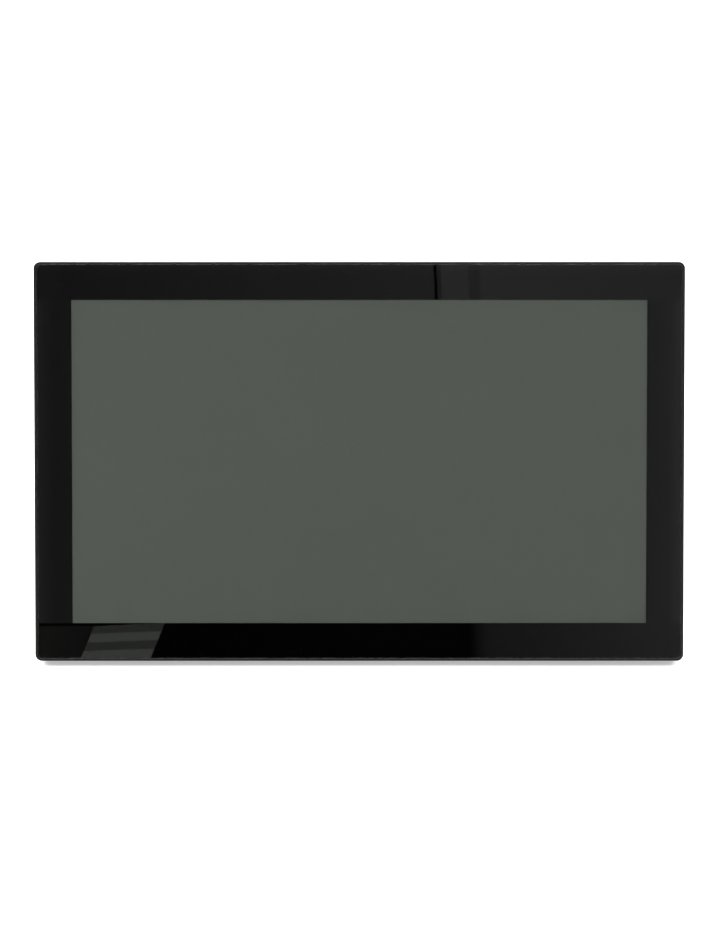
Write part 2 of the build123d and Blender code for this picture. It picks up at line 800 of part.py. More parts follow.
def screw_group(name, seats, shank, length, head, head_height):
    """Cross-recess screws. A seat is (spots, depth under the heads, +1 if they face the rear)."""
    with BuildPart() as group:
        for spots, seat, way in seats:
            with BuildSketch(layer(seat)):
                with Locations(*spots):
                    Circle(head)
            extrude(amount=-way * head_height)
            with BuildSketch(layer(seat)):
                with Locations(*spots):
                    Circle(shank)
            extrude(amount=way * length)
            with BuildSketch(layer(seat + way * head_height)):
                with Locations(*spots):
                    Rectangle(1.3 * head, 0.3 * head)
                    Rectangle(0.3 * head, 1.3 * head)
            extrude(amount=way * 0.6 * head_height, mode=Mode.SUBTRACT)
    save(group, name)


screw_group(
    "cover_screws",
    [(cover_screw_spots, cover_seat, 1)],
    cover_shank_radius,
    cover_seat - shelf_back - 0.6,
    counterbore_radius - 0.5,
    counterbore_depth - 0.2,
)
screw_group(
    "inner_screws",
    [
        (bracket_screw_spots, module_back + bracket_thickness, 1),
        (board_screw_spots, board_depth, -1),
        (key_screw_spots, key_board_front, -1),
        (speaker_screw_spots, speaker_seat - speaker_ear_thickness, -1),
    ],
    small_shank_radius,
    small_shank_length,
    small_head_radius,
    small_head_height,
)

# ================================================================ main board
header_v = board_low + 3.5
header_height = 4.0
header_depth = 5.0
key_header_u = board_left + 13.0
panel_header_u = panel_socket_u
speaker_header_u = board_left + 44.0
header_spots = ((key_header_u, 8.0), (panel_header_u, panel_socket_width), (speaker_header_u, 8.0))

with BuildPart() as main_board:
    with BuildSketch(layer(board_depth)):
        with Locations((board_u, board_v)):
            Rectangle(board_width, board_height)
        with Locations(*board_screw_spots):
            Circle(small_shank_radius + 0.2, mode=Mode.SUBTRACT)
    extrude(amount=-board_thickness)
    # small parts in rows either side of the processor
    with BuildSketch(layer(board_back)):
        with Locations((board_left + 33, board_v - 16)):
            with GridLocations(5, 4, 8, 2):
                Rectangle(2.0, 1.25)
    extrude(amount=-0.7)
save(main_board, "main_board")

processor_u = board_left + 37.5
processor_v = board_v + 9.0
processor_height = 1.2
with BuildPart() as processor:
    with BuildSketch(layer(board_back)):
        with Locations((processor_u, processor_v)):
            Rectangle(17, 17)
    extrude(amount=-processor_height)
save(processor, "processor")

sink_size = 30.0
sink_base = 2.0
sink_height = 10.0
fin_count = 9
fin_thickness = 1.2
with BuildPart() as heat_sink:
    with BuildSketch(layer(board_back + processor_height)):
        with Locations((processor_u, processor_v)):
            Rectangle(sink_size, sink_size)
    extrude(amount=-sink_base)
    with BuildSketch(layer(board_back + processor_height + sink_base)):
        with Locations((processor_u, processor_v)):
            with GridLocations((sink_size - fin_thickness) / (fin_count - 1), 1, fin_count, 1):
                Rectangle(fin_thickness, sink_size)
    extrude(amount=-(sink_height - sink_base))
save(heat_sink, "heat_sink")

memory_spots = [
    (board_left + 13, board_v),
    (board_left + 13, board_v + 16),
    (board_left + 29, board_v + 32),
    (board_left + 45, board_v + 32),
]
with BuildPart() as memory_chips:
    with BuildSketch(layer(board_back)):
        with Locations(*memory_spots):
            Rectangle(11, 9)
    extrude(amount=-1.0)
save(memory_chips, "memory_chips")

with BuildPart() as power_coils:
    with BuildSketch(layer(board_back)):
        with Locations((board_left + 64, board_v + 18)):
            with GridLocations(1, 9.5, 1, 3):
                RectangleRounded(7, 7, 1.5)
    extrude(amount=-4.0)
    with BuildSketch(layer(board_back + 4.0)):
        with Locations((board_left + 64, board_v + 18)):
            with GridLocations(1, 9.5, 1, 3):
                Circle(2.2)
    extrude(amount=0.5, mode=Mode.SUBTRACT)
save(power_coils, "power_coils")

# Plugs leave these downwards, so their slots open towards the board's lower edge.
with BuildPart() as board_headers:
    for u, wide in header_spots:
        with BuildSketch(layer(board_back)):
            with Locations((u, header_v)):
                Rectangle(wide + 2.0, header_depth)
        extrude(amount=-header_height)
        with BuildSketch(layer(board_back + 1.0)):
            with Locations((u, header_v - header_depth / 2)):
                Rectangle(wide, header_depth)
        extrude(amount=-(header_height - 2.0), mode=Mode.SUBTRACT)
save(board_headers, "board_headers")

# ================================================================ sockets
# Each is drawn looking into its mouth: local x is depth, local y is v, and it runs inwards.
mouth = section.offset(port_mouth)
sheet_wall = 0.4

dc_centre = (board_back + dc_high / 2, dc_v)
dc_bore = 3.2
dc_pin_radius = 1.0
dc_bore_length = 10.0
with BuildPart() as dc_jack:
    with BuildSketch(mouth):
        with Locations(dc_centre):
            Rectangle(dc_high, dc_wide)
    extrude(amount=-dc_long)
    with BuildSketch(mouth):
        with Locations(dc_centre):
            Circle(dc_bore)
    extrude(amount=-dc_bore_length, mode=Mode.SUBTRACT)
save(dc_jack, "dc_jack")

with BuildPart() as dc_pin:
    with BuildSketch(mouth.offset(-dc_bore_length)):
        with Locations(dc_centre):
            Circle(dc_pin_radius)
    extrude(amount=dc_bore_length - 1.0)
    fillet(dc_pin.faces().sort_by(Axis.X)[-1].edges(), 0.4)
save(dc_pin, "dc_pin")


def metal_shell(name, v, high, wide, long):
    """A folded sheet socket shell, closed at its inner end, lying on the board."""
    with BuildPart() as shell:
        with BuildSketch(mouth):
            with Locations((board_back + high / 2, v)):
                RectangleRounded(high, wide, 0.6)
        extrude(amount=-long)
        with BuildSketch(mouth):
            with Locations((board_back + high / 2, v)):
                Rectangle(high - 2 * sheet_wall, wide - 2 * sheet_wall)
        extrude(amount=-(long - sheet_wall), mode=Mode.SUBTRACT)
    save(shell, name)


def socket_tongue(name, v, offset_depth, thick, wide, long, show):
    """The plastic tongue in a socket shell, with the block that holds it at the inner end."""
    shell_high, shell_wide = {video_v: (video_high, video_wide), usb_v: (usb_high, usb_wide)}[v]
    inner_end = mouth.offset(-(long - sheet_wall))
    with BuildPart() as tongue:
        with BuildSketch(inner_end):
            with Locations((board_back + shell_high / 2, v)):
                Rectangle(shell_high - 2 * sheet_wall, shell_wide - 2 * sheet_wall)
        extrude(amount=2.0)
        with BuildSketch(inner_end):
            with Locations((board_back + shell_high / 2 + offset_depth, v)):
                Rectangle(thick, wide)
        extrude(amount=long - sheet_wall - show)
    save(tongue, name)


metal_shell("video_shell", video_v, video_high, video_wide, video_long)
socket_tongue("video_tongue", video_v, 0.0, 1.0, 10.2, video_long, 1.2)
metal_shell("usb_shell", usb_v, usb_high, usb_wide, usb_long)
socket_tongue("usb_tongue", usb_v, -1.2, 1.9, 11.1, usb_long, 0.8)

card_cover = 0.3
card_floor = 0.8
with BuildPart() as card_base:
    with BuildSketch(mouth):
        with Locations((board_back + (card_high - card_cover) / 2, card_v)):
            Rectangle(card_high - card_cover, card_wide - 2 * card_cover)
    extrude(amount=-card_long)
    with BuildSketch(mouth):
        with Locations((board_back + card_floor + card_high / 2, card_v)):
            Rectangle(card_high, 24.4)
    extrude(amount=-(card_long - 1.5), mode=Mode.SUBTRACT)
save(card_base, "card_base")

with BuildPart() as card_shell:
    with BuildSketch(mouth.offset(-0.3)):
        with Locations((board_back + card_high / 2, card_v)):
            Rectangle(card_high, card_wide)
        with Locations((board_back + (card_high - card_cover) / 2, card_v)):
            Rectangle(card_high - card_cover, card_wide - 2 * card_cover, mode=Mode.SUBTRACT)
    extrude(amount=-(card_long - 0.6))
save(card_shell, "card_shell")

# ================================================================ keys
with BuildPart() as key_board:
    with BuildSketch(layer(key_board_front)):
        with Locations((key_u, bay_v)):
            Rectangle(12, 2 * key_board_half)
        with Locations(*key_screw_spots):
            Circle(small_shank_radius + 0.2, mode=Mode.SUBTRACT)
    extrude(amount=-key_board_thickness)
save(key_board, "key_board")

with BuildPart() as key_switches:
    with BuildSketch(layer(key_board_back)):
        with Locations(*key_spots):
            Rectangle(switch_size, switch_size)
    extrude(amount=-switch_height)
    with BuildSketch(layer(switch_back)):
        with Locations(*key_spots):
            Circle(plunger_radius + 0.05)
    extrude(amount=plunger_engage + key_travel + 0.7, mode=Mode.SUBTRACT)
save(key_switches, "key_switches")

key_names = ("previous", "play", "next", "menu", "power")
key_top = housing_depth - 0.2
for key_name, (u, v) in zip(key_names, key_spots):
    with BuildPart() as key_cap:
        with BuildSketch(layer(key_flange_front)):
            with Locations((u, v)):
                Circle(key_radius + 1.1)
        extrude(amount=-key_flange)
        with BuildSketch(layer(key_flange_front)):
            with Locations((u, v)):
                Circle(key_radius)
        extrude(amount=-(key_top - key_flange_front))
        fillet(key_cap.faces().sort_by(toward_viewer)[0].edges(), 0.4)
    save(key_cap, f"{key_name}_key")

    with BuildPart() as key_plunger:
        with BuildSketch(layer(switch_back - plunger_engage)):
            with Locations((u, v)):
                Circle(plunger_radius)
        extrude(amount=-(key_flange_front - switch_back + plunger_engage))
    save(key_plunger, f"{key_name}_plunger")

# ================================================================ speakers
# Each faces the grille behind it; its magnet points at the screen.
basket_front = speaker_seat - speaker_height + 4.4
basket_slope = 38.0
basket_depth = speaker_seat - speaker_ear_thickness - basket_front
cone_rim = speaker_radius - 2.6

with BuildPart() as speaker_baskets:
    with BuildSketch(layer(speaker_seat - speaker_ear_thickness)):
        with Locations(*speaker_spots):
            Circle(speaker_radius)
            SlotOverall(2 * (speaker_ear + small_boss_radius), 2 * small_boss_radius + 1)
    extrude(amount=-speaker_ear_thickness)
    with BuildSketch(layer(speaker_seat - speaker_ear_thickness)):
        with Locations(*speaker_spots):
            Circle(speaker_radius - 1.0)
    extrude(amount=basket_depth, taper=basket_slope)
    with BuildSketch(layer(speaker_seat)):
        with Locations(*speaker_spots):
            Circle(cone_rim + 0.2)
    extrude(amount=0.8, mode=Mode.SUBTRACT)
    with BuildSketch(layer(speaker_seat - 0.8)):
        with Locations(*speaker_spots):
            Circle(cone_rim - 0.8)
    extrude(amount=basket_depth, taper=basket_slope, mode=Mode.SUBTRACT)
    with BuildSketch(layer(speaker_seat)):
        with Locations(*speaker_screw_spots):
            Circle(small_shank_radius + 0.2)
    extrude(amount=speaker_ear_thickness, mode=Mode.SUBTRACT)
save(speaker_baskets, "speaker_baskets")

with BuildPart() as speaker_cones:
    with BuildSketch(layer(speaker_seat - 0.4)):
        with Locations(*speaker_spots):
            Circle(cone_rim)
    extrude(amount=0.4)
    with BuildSketch(layer(speaker_seat - 0.8)):
        with Locations(*speaker_spots):
            Circle(cone_rim - 2.4)
    extrude(amount=3.2, taper=55)
    with BuildSketch(layer(speaker_seat - 0.4)):
        with Locations(*speaker_spots):
            Circle(cone_rim - 2.8)
    extrude(amount=3.2, taper=55, mode=Mode.SUBTRACT)
save(speaker_cones, "speaker_cones")

with BuildPart() as speaker_magnets:
    with BuildSketch(layer(basket_front)):
        with Locations(*speaker_spots):
            Circle(magnet_radius)
    extrude(amount=basket_front - (speaker_seat - speaker_height))
save(speaker_magnets, "speaker_magnets")

# ================================================================ inner cables
cable_depth = module_back + 4.6  # where cables cross between the module and the leg's channel
wire_radius = 0.9
wire_bend = 1.9
header_mid = board_back + header_height / 2
plug_top = header_v - 0.5

with BuildPart() as panel_cable:
    with BuildSketch(section.offset(panel_socket_u)):
        with BuildLine():
            FilletPolyline(
                (header_mid, plug_top),
                (header_mid, source_v + 34),
                (source_back + panel_socket_height / 2, source_v + 20),
                (source_back + panel_socket_height / 2, source_v + 2.5),
                radius=6.0,
            )
        trace(line_width=1.0)
    extrude(amount=(panel_socket_width - 1.0) / 2, both=True)
save(panel_cable, "panel_cable")


terminal_depth = speaker_seat - speaker_ear_thickness - wire_radius
terminal_v = speaker_v + speaker_radius - 0.8
with BuildPart() as speaker_cables:
    for side, start_u, lane in (
        (-1, speaker_header_u - 2.0, left_lane),
        (1, speaker_header_u + 2.0, right_lane),
    ):
        with BuildLine(face) as speaker_route:
            FilletPolyline(
                (start_u, plug_top, -header_mid),
                (start_u, lane, -header_mid),
                (start_u, lane, -cable_depth),
                (side * speaker_u, lane, -cable_depth),
                (side * speaker_u, lane, -terminal_depth),
                (side * speaker_u, terminal_v, -terminal_depth),
                radius=wire_bend,
            )
        with BuildSketch(Plane(origin=speaker_route.line @ 0, z_dir=speaker_route.line % 0)):
            Circle(wire_radius)
        sweep(path=speaker_route.line)
save(speaker_cables, "speaker_cables")

key_cable_u = key_u + 4.2
key_cable_depth = key_board_front - wire_radius
key_cable_start = max(bay_v - key_board_half + 4.0, key_lane + 2.5 * wire_bend)
with BuildPart() as key_cable:
    with BuildLine(face) as key_route:
        FilletPolyline(
            (key_cable_u, key_cable_start, -key_cable_depth),
            (key_cable_u, key_lane, -key_cable_depth),
            (key_cable_u, key_lane, -cable_depth),
            (key_header_u, key_lane, -cable_depth),
            (key_header_u, key_lane, -header_mid),
            (key_header_u, plug_top, -header_mid),
            radius=wire_bend,
        )
    with BuildSketch(Plane(origin=key_route.line @ 0, z_dir=key_route.line % 0)):
        Circle(wire_radius)
    sweep(path=key_route.line)
save(key_cable, "key_cable")

# ================================================================ hinge
ear_high = plate_high - 3.0
ear_low = pin_v - 7.2
hinge_at = (pin_depth, pin_v)

with BuildPart() as hinge_bracket:
    with BuildSketch(layer(plate_front)):
        with Locations((0, (plate_low + plate_high) / 2)):
            RectangleRounded(2 * ear_outside - 0.2, plate_high - plate_low - 0.2, 1.0)
        with Locations(*hinge_screw_spots):
            Circle(hinge_shank_radius + 0.2, mode=Mode.SUBTRACT)
    extrude(amount=-plate_thickness)
    for way in (-1, 1):
        with BuildSketch(section.offset(way * (ear_inside + ear_thickness / 2))):
            with Locations(hinge_at):
                Circle(ear_radius)
            with Locations((plate_front + plate_thickness / 2, (ear_low + ear_high) / 2)):
                Rectangle(plate_thickness, ear_high - ear_low)
            make_hull()
        extrude(amount=ear_thickness / 2, both=True)
    with BuildSketch(section):
        with Locations(hinge_at):
            Circle(pin_radius + thread_clearance)
    extrude(amount=ear_outside, both=True, mode=Mode.SUBTRACT)
save(hinge_bracket, "hinge_bracket")

pin_head_radius = 3.5
pin_head_height = 1.2
groove_radius = 1.6
groove_width = 0.6
groove_u = ear_outside + 0.1
with BuildPart() as hinge_pin:
    with BuildSketch(section.offset(-ear_outside)):
        with Locations(hinge_at):
            Circle(pin_radius)
    extrude(amount=2 * ear_outside + 1.8)
    chamfer(hinge_pin.faces().sort_by(Axis.X)[-1].edges(), 0.4)
    with BuildSketch(section.offset(-ear_outside)):
        with Locations(hinge_at):
            Circle(pin_head_radius)
    extrude(amount=-pin_head_height)
    fillet(hinge_pin.faces().sort_by(Axis.X)[0].edges(), 0.5)
    with BuildSketch(section.offset(groove_u)):
        with Locations(hinge_at):
            Circle(pin_radius + 1)
            Circle(groove_radius, mode=Mode.SUBTRACT)
    extrude(amount=groove_width, mode=Mode.SUBTRACT)
save(hinge_pin, "hinge_pin")

with BuildPart() as hinge_clip:
    with BuildSketch(section.offset(groove_u + 0.05)):
        with Locations(hinge_at):
            Circle(pin_radius + 1.5)
            Circle(groove_radius + thread_clearance, mode=Mode.SUBTRACT)
        with Locations((pin_depth + pin_radius + 1.5, pin_v)):
            Rectangle(2 * (pin_radius + 1.5), 1.5 * groove_radius, mode=Mode.SUBTRACT)
    extrude(amount=groove_width - 0.1)
save(hinge_clip, "hinge_clip")

with BuildPart() as hinge_washers:
    for start in (-ear_inside, ear_inside - washer_thickness):
        with BuildSketch(section.offset(start)):
            with Locations(hinge_at):
                Circle(2 * pin_radius)
                Circle(pin_radius + thread_clearance, mode=Mode.SUBTRACT)
        extrude(amount=washer_thickness)
save(hinge_washers, "hinge_washers")

screw_group(
    "hinge_screws",
    [(hinge_screw_spots, channel_floor, 1)],
    hinge_shank_radius,
    hinge_shank_length,
    hinge_shank_radius + 1.1,
    1.3,
)

# ================================================================ leg
half_thick = leg_thickness / 2
shoulder = -8.0  # where the leg widens below the knuckle
leg_skin = 2.2
leg_hollow_top = shoulder - 1.5
foot_block = 12.0
rib_thickness = 1.4
rib_count = 4
rib_front = -half_thick + 1.5
rib_back = half_thick - leg_skin
leg_round = 1.5
up_leg = Axis(leg_section.origin, leg_section.y_dir)
out_of_leg = Axis(leg_section.origin, leg_section.x_dir)


def leg_level(x, above_table):
    """Where this height above the table meets the open leg, as y along it, at x through it."""
    return (above_table - pin_height - x * sin(radians(leg_tilt))) / cos(radians(leg_tilt))


leg_end = leg_level(-half_thick, pad_thickness)
hollow_end = leg_end + foot_block
rib_top = shoulder - 14.0
peg_radius = 1.6
peg_height = 5.0
peg_spots = [(u, 0) for u in (-leg_width / 4, leg_width / 4)]
leg_along = Plane(origin=pin_point, x_dir=(1, 0, 0), z_dir=leg_section.y_dir)
rib_pitch = (rib_top - hollow_end) / (rib_count + 1)
grip_count = 5
grip_pitch = 3.2
grip_radius = 1.2

with BuildPart() as stand_leg:
    with BuildSketch(leg_section):
        Polygon(
            (-half_thick, shoulder),
            (half_thick, shoulder),
            (half_thick, leg_level(half_thick, pad_thickness)),
            (-half_thick, leg_end),
            align=None,
        )
    extrude(amount=leg_width / 2, both=True)
    fillet(stand_leg.edges().filter_by(up_leg).sort_by(out_of_leg)[-2:], leg_round)
    with BuildSketch(leg_section):
        Polygon(
            (-half_thick, shoulder - leg_skin),
            (-half_thick, heel_length),
            (half_thick, heel_length),
            (half_thick, shoulder - leg_skin),
            align=None,
        )
    extrude(amount=knuckle_half, both=True)
    fillet(stand_leg.faces().sort_by(up_leg)[-1].edges().sort_by(out_of_leg)[-1], 3.0)
    # hollow, open towards the housing, and its ribs
    with BuildSketch(leg_section):
        with Locations(((rib_back - half_thick) / 2, (leg_hollow_top + hollow_end) / 2)):
            Rectangle(rib_back + half_thick, leg_hollow_top - hollow_end)
    extrude(amount=leg_width / 2 - leg_skin, both=True, mode=Mode.SUBTRACT)
    with BuildSketch(leg_section):
        for i in range(1, rib_count + 1):
            with Locations(((rib_front + rib_back) / 2, rib_top - i * rib_pitch)):
                Rectangle(rib_back - rib_front, rib_thickness)
    extrude(amount=leg_width / 2 - leg_skin, both=True)
    with BuildSketch(leg_section):
        with Locations(((rib_front + rib_back) / 2, (rib_top + hollow_end) / 2)):
            Rectangle(rib_back - rib_front, rib_top - hollow_end)
    extrude(amount=rib_thickness / 2, both=True)
    with BuildSketch(leg_section):
        Circle(pin_radius + pin_clearance)
    extrude(amount=leg_width, both=True, mode=Mode.SUBTRACT)
    # finger grooves across the back, above the foot
    with BuildSketch(leg_section):
        for i in range(grip_count):
            with Locations((half_thick + grip_radius / 2, hollow_end + i * grip_pitch)):
                Circle(grip_radius)
    extrude(amount=leg_width / 2 - 6.0, both=True, mode=Mode.SUBTRACT)
    # holes for the foot's pegs
    with BuildSketch(leg_along.offset(leg_end - 1)):
        with Locations(*peg_spots):
            Circle(peg_radius)
    extrude(amount=peg_height + 1, mode=Mode.SUBTRACT)
save(stand_leg, "stand_leg")

with BuildPart() as stand_foot:
    with BuildSketch(leg_section):
        Polygon(
            (-half_thick, leg_end),
            (half_thick, leg_level(half_thick, pad_thickness)),
            (half_thick, leg_level(half_thick, 0)),
            (-half_thick, leg_level(-half_thick, 0)),
            align=None,
        )
    extrude(amount=leg_width / 2, both=True)
    fillet(stand_foot.edges().filter_by(up_leg).sort_by(out_of_leg)[-2:], leg_round)
    with BuildSketch(leg_along.offset(leg_end - 1)):
        with Locations(*peg_spots):
            Circle(peg_radius - thread_clearance)
    extrude(amount=peg_height)
save(stand_foot, "stand_foot")
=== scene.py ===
import json
import math

import bmesh
import bpy
import numpy as np
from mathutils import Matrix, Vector


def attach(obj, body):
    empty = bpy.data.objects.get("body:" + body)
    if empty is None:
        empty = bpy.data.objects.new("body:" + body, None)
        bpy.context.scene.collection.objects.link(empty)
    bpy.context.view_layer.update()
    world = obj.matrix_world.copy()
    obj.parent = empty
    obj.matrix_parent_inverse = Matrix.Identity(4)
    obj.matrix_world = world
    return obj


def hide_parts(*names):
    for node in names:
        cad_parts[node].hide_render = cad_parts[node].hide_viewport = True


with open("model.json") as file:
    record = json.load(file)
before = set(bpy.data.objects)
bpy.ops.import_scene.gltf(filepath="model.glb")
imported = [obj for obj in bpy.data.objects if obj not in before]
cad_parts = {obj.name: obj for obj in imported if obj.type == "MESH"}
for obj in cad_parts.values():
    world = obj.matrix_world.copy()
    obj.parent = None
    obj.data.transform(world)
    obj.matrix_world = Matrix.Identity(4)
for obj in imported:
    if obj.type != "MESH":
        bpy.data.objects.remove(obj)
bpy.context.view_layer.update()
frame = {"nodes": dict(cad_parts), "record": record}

# ---------------------------------------------------------------- how the housing stands
# The wall-mount holes give the housing's own axes: u across the screen, v up it and depth to the
# rear. The middle of the glass front is u = v = depth = 0. Sizes here are in metres.
wall_mount = next(m for m in frame["record"]["mounts"] if m["name"] == "wall_mount_75")
mount_depth = 0.0339
rightward = np.array([1.0, 0.0, 0.0])
rearward = np.array(wall_mount["axis"])
upward = np.cross(rightward, rearward)
glass_middle = np.array(wall_mount["pos_m"]) - mount_depth * rearward
lean = math.asin(upward[1])


def housing_points(u, v, depth):
    """Glass middle plus u times rightward plus v times upward plus depth times rearward."""
    u, v, depth = (a[..., None] for a in np.broadcast_arrays(u, v, depth))
    return glass_middle + u * rightward + v * upward + depth * rearward


def housing_box(node):
    """A node's lowest and highest u, v and depth, from its own vertices."""
    mesh = frame["nodes"][node].data
    places = np.empty(len(mesh.vertices) * 3, np.float32)
    mesh.vertices.foreach_get("co", places)
    local = (places.reshape(-1, 3) - glass_middle) @ np.stack([rightward, upward, rearward], axis=1)
    return local.min(axis=0), local.max(axis=0)


# ---------------------------------------------------------------- camera
# It looks nearly square at the glass, from just above its middle and a long arm's length away.
eye_distance = 1.2
eye_rise = 0.0377
aim_u, aim_v = 0.0004, -0.0012
lens_length = 77.85  # mm
eye = housing_points(0.0, eye_rise, -eye_distance)
aim = housing_points(aim_u, aim_v, 0.0)
camera_data = bpy.data.cameras.new("studio_camera")
camera_data.lens = lens_length
camera = bpy.data.objects.new("studio_camera", camera_data)
camera.location = eye
camera.rotation_mode = "QUATERNION"
camera.rotation_quaternion = Vector(aim - eye).to_track_quat("-Z", "Y")
bpy.context.scene.collection.objects.link(camera)
bpy.context.scene.camera = camera

# ---------------------------------------------------------------- studio
# A white floor, faintly lit from within, in a pale tent, with soft daylight from the upper left
# and two soft lamps. Tones are shown plainly, so that what is white shows white.
bpy.context.scene.view_settings.view_transform = "Standard"


def grid_faces(rows, columns):
    """Corners of the four-sided faces of a grid of points kept row by row."""
    first = (np.arange(rows - 1)[:, None] * columns + np.arange(columns - 1)).ravel()
    return np.stack([first, first + 1, first + columns + 1, first + columns], axis=1)


def sheet_object(name, points):
    """One object from a grid of points (rows, columns, 3)."""
    mesh = bpy.data.meshes.new(name)
    mesh.from_pydata(points.reshape(-1, 3).tolist(), [], grid_faces(*points.shape[:2]).tolist())
    made = bpy.data.objects.new(name, mesh)
    bpy.context.scene.collection.objects.link(made)
    return made


floor_half = 9.0
lamp_target = (0, 0, 0.1)
across, along = np.meshgrid([-floor_half, floor_half], [-floor_half, floor_half])
floor = sheet_object("studio_floor", np.stack([across, along, np.zeros((2, 2))], axis=-1))
floor_paper = bpy.data.materials.new("floor_paper")
floor_paper.use_nodes = True
floor_shader = floor_paper.node_tree.nodes["Principled BSDF"]
floor_shader.inputs["Base Color"].default_value = (0.93, 0.93, 0.93, 1)
floor_shader.inputs["Roughness"].default_value = 0.95
floor_shader.inputs["Specular IOR Level"].default_value = 0.0
floor_shader.inputs["Emission Color"].default_value = (1, 1, 1, 1)
floor_shader.inputs["Emission Strength"].default_value = 0.4
floor.data.materials.append(floor_paper)

tent = bpy.data.worlds.new("white_tent")
tent.use_nodes = True
tent.node_tree.nodes["Background"].inputs["Color"].default_value = (1, 1, 1, 1)
tent.node_tree.nodes["Background"].inputs["Strength"].default_value = 0.8
bpy.context.scene.world = tent

for lamp_name, kind, place, size, power in (
    ("window_light", "SUN", (-1.6, -1.1, 2.0), 0.45, 2.4),
    ("right_softbox", "AREA", (2.1, 0.3, 1.7), 0.8, 38.0),
    ("rear_softbox", "AREA", (-1.1, 2.0, 1.5), 0.8, 55.0),
):
    lamp_data = bpy.data.lights.new(lamp_name, kind)
    lamp_data.energy = power
    setattr(lamp_data, "angle" if kind == "SUN" else "size", size)
    lamp = bpy.data.objects.new(lamp_name, lamp_data)
    lamp.location = place
    lamp.rotation_mode = "QUATERNION"
    lamp.rotation_quaternion = (Vector(lamp_target) - lamp.location).to_track_quat("-Z", "Y")
    bpy.context.scene.collection.objects.link(lamp)

# ---------------------------------------------------------------- what the glass mirrors
# Behind the camera a black flag keeps the glass dark. In front of it hang grey cards, a dark pole
# and a slatted blind, which show in the black border. Only mirrored light meets any of them.
board_distance = 2.0
glass_mirrors = 0.078  # share of the light that the two faces of the pane send back
window_u, window_v = 0.1721, 0.0968  # half the picture's width and height
border_u, border_v = 0.2, 0.125
spill = 0.02  # of the cards past the border


def card_place(u, v, nearer):
    """The eye's line through a glass point, mirrored there and followed to the cards' plane."""
    reach = (board_distance - nearer) / eye_distance
    return housing_points(u * (1 + reach), v + (v - eye_rise) * reach, nearer - board_distance)


def card_light(tone):
    """The light a card gives off so that the glass shows this tone of 0 to 255."""
    part = np.asarray(tone) / 255
    return np.where(part <= 0.04045, part / 12.92, ((part + 0.055) / 1.055) ** 2.4) / glass_mirrors


def studio_card(name, u, v, tones, nearer, hue=(1.0, 1.0, 1.0)):
    """A card over a grid of glass points, lit by the tone given for each of them."""
    u, v, tones = np.broadcast_arrays(u, v, np.asarray(tones, float))
    card = sheet_object(name, card_place(u, v, nearer))
    glow = card_light(tones[..., None] * np.array([*hue, 1.0]))
    shade = card.data.color_attributes.new("card_light", "FLOAT_COLOR", "POINT")
    shade.data.foreach_set("color", glow.ravel())
    card.data.materials.append(card_paper)
    card.visible_camera = False
    card.visible_diffuse = False
    card.visible_shadow = False


card_paper = bpy.data.materials.new("card_paper")
card_paper.use_nodes = True
card_tree = card_paper.node_tree
card_tree.nodes.remove(card_tree.nodes["Principled BSDF"])
card_tone = card_tree.nodes.new("ShaderNodeVertexColor")
card_tone.layer_name = "card_light"
card_glow = card_tree.nodes.new("ShaderNodeEmission")
card_tree.links.new(card_tone.outputs["Color"], card_glow.inputs["Color"])
card_tree.links.new(
    card_glow.outputs["Emission"], card_tree.nodes["Material Output"].inputs["Surface"]
)

pole_u, pole_width, pole_lean = 0.045, 0.0019, -0.04
far_u, far_v = border_u + spill, border_v + spill
all_u, all_v = [-far_u, far_u], [-far_v, far_v]
left_u = [-far_u, -0.194, -0.19, -0.182, -window_u]
post = [0.0655, 0.066, 0.0722, 0.0729]  # a dimmer post stands before the right-hand card
top_right_u = [pole_u, 0.049, 0.0497, *post, 0.2]
top_v = [window_v, 0.1135, 0.117, far_v]
bright_above, extra_tone = 0.115, 7.0  # the top cards are brighter above this v
near, pole_near = 0.01, 0.02
for card_name, card_u, card_v, tones, nearer in (
    ("black_flag", all_u, all_v, [0, 0], 0.0),
    ("left_card", left_u, [-window_v, window_v], [34, 33, 24, 18, 20], near),
    ("right_card", [window_u, 0.186, 0.19, far_u], [-window_v, window_v], [29, 32, 38, 39], near),
    ("low_card", [0.067, 0.077, 0.11, far_u], [-far_v, -window_v], [1, 18, 21, 35], near),
    ("top_left_card", [-far_u, -window_u, pole_u], top_v, [21, 17.5, 28], near),
    ("top_right_card", top_right_u, top_v, [25, 25, 36, 36, 30, 30, 35, 32], near),
    ("dark_pole", [pole_u, pole_u + pole_width], [window_v, far_v], [1, 1], pole_near),
):
    card_u, card_v = np.meshgrid(card_u, card_v)
    on_top = card_v.min() > 0
    leans = pole_lean if on_top else 0.0
    brighter = (card_v > bright_above) * (on_top and nearer < pole_near)
    tones = np.array(tones) + extra_tone * brighter
    studio_card(card_name, card_u + (card_v - window_v) * leans, card_v, tones, nearer)

# The blind: a slanted pane crossed by pale and green-grey slats, and a dim pane left of it.
pane_slant, slat_tilt = 0.42, 0.04
pane_left, pane_right = -0.1585, -0.116
dim_tone, pale_tone = 35, 17  # of a green-grey slat, and what a pale one adds
blind_hue, dim_hue = (1.0, 1.03, 0.96), (0.97, 1.06, 0.93)
slat_edges = -np.array([0.12, 0.1134, 0.1134, 0.1083, 0.1083, 0.1031, 0.1031, 0.0985])[:, None]
pale = np.array([1, 1, 0, 0, 1, 1, 0, 0])[:, None]
pane_u = np.array([[pane_left, pane_right]]) + (slat_edges + window_v) * pane_slant
pane_v = slat_edges + (pane_u - pane_left) * slat_tilt
studio_card("blind", pane_u, pane_v, dim_tone + pale_tone * pale + 0 * pane_u, 0.02, blind_hue)
dim_u = np.array([[-far_u, -0.185, -0.158]]) + 0 * slat_edges
dim_tones = np.array([[22, 15, 9]]) + 0 * slat_edges
studio_card("dim_pane", dim_u, slat_edges, dim_tones, 0.015, dim_hue)

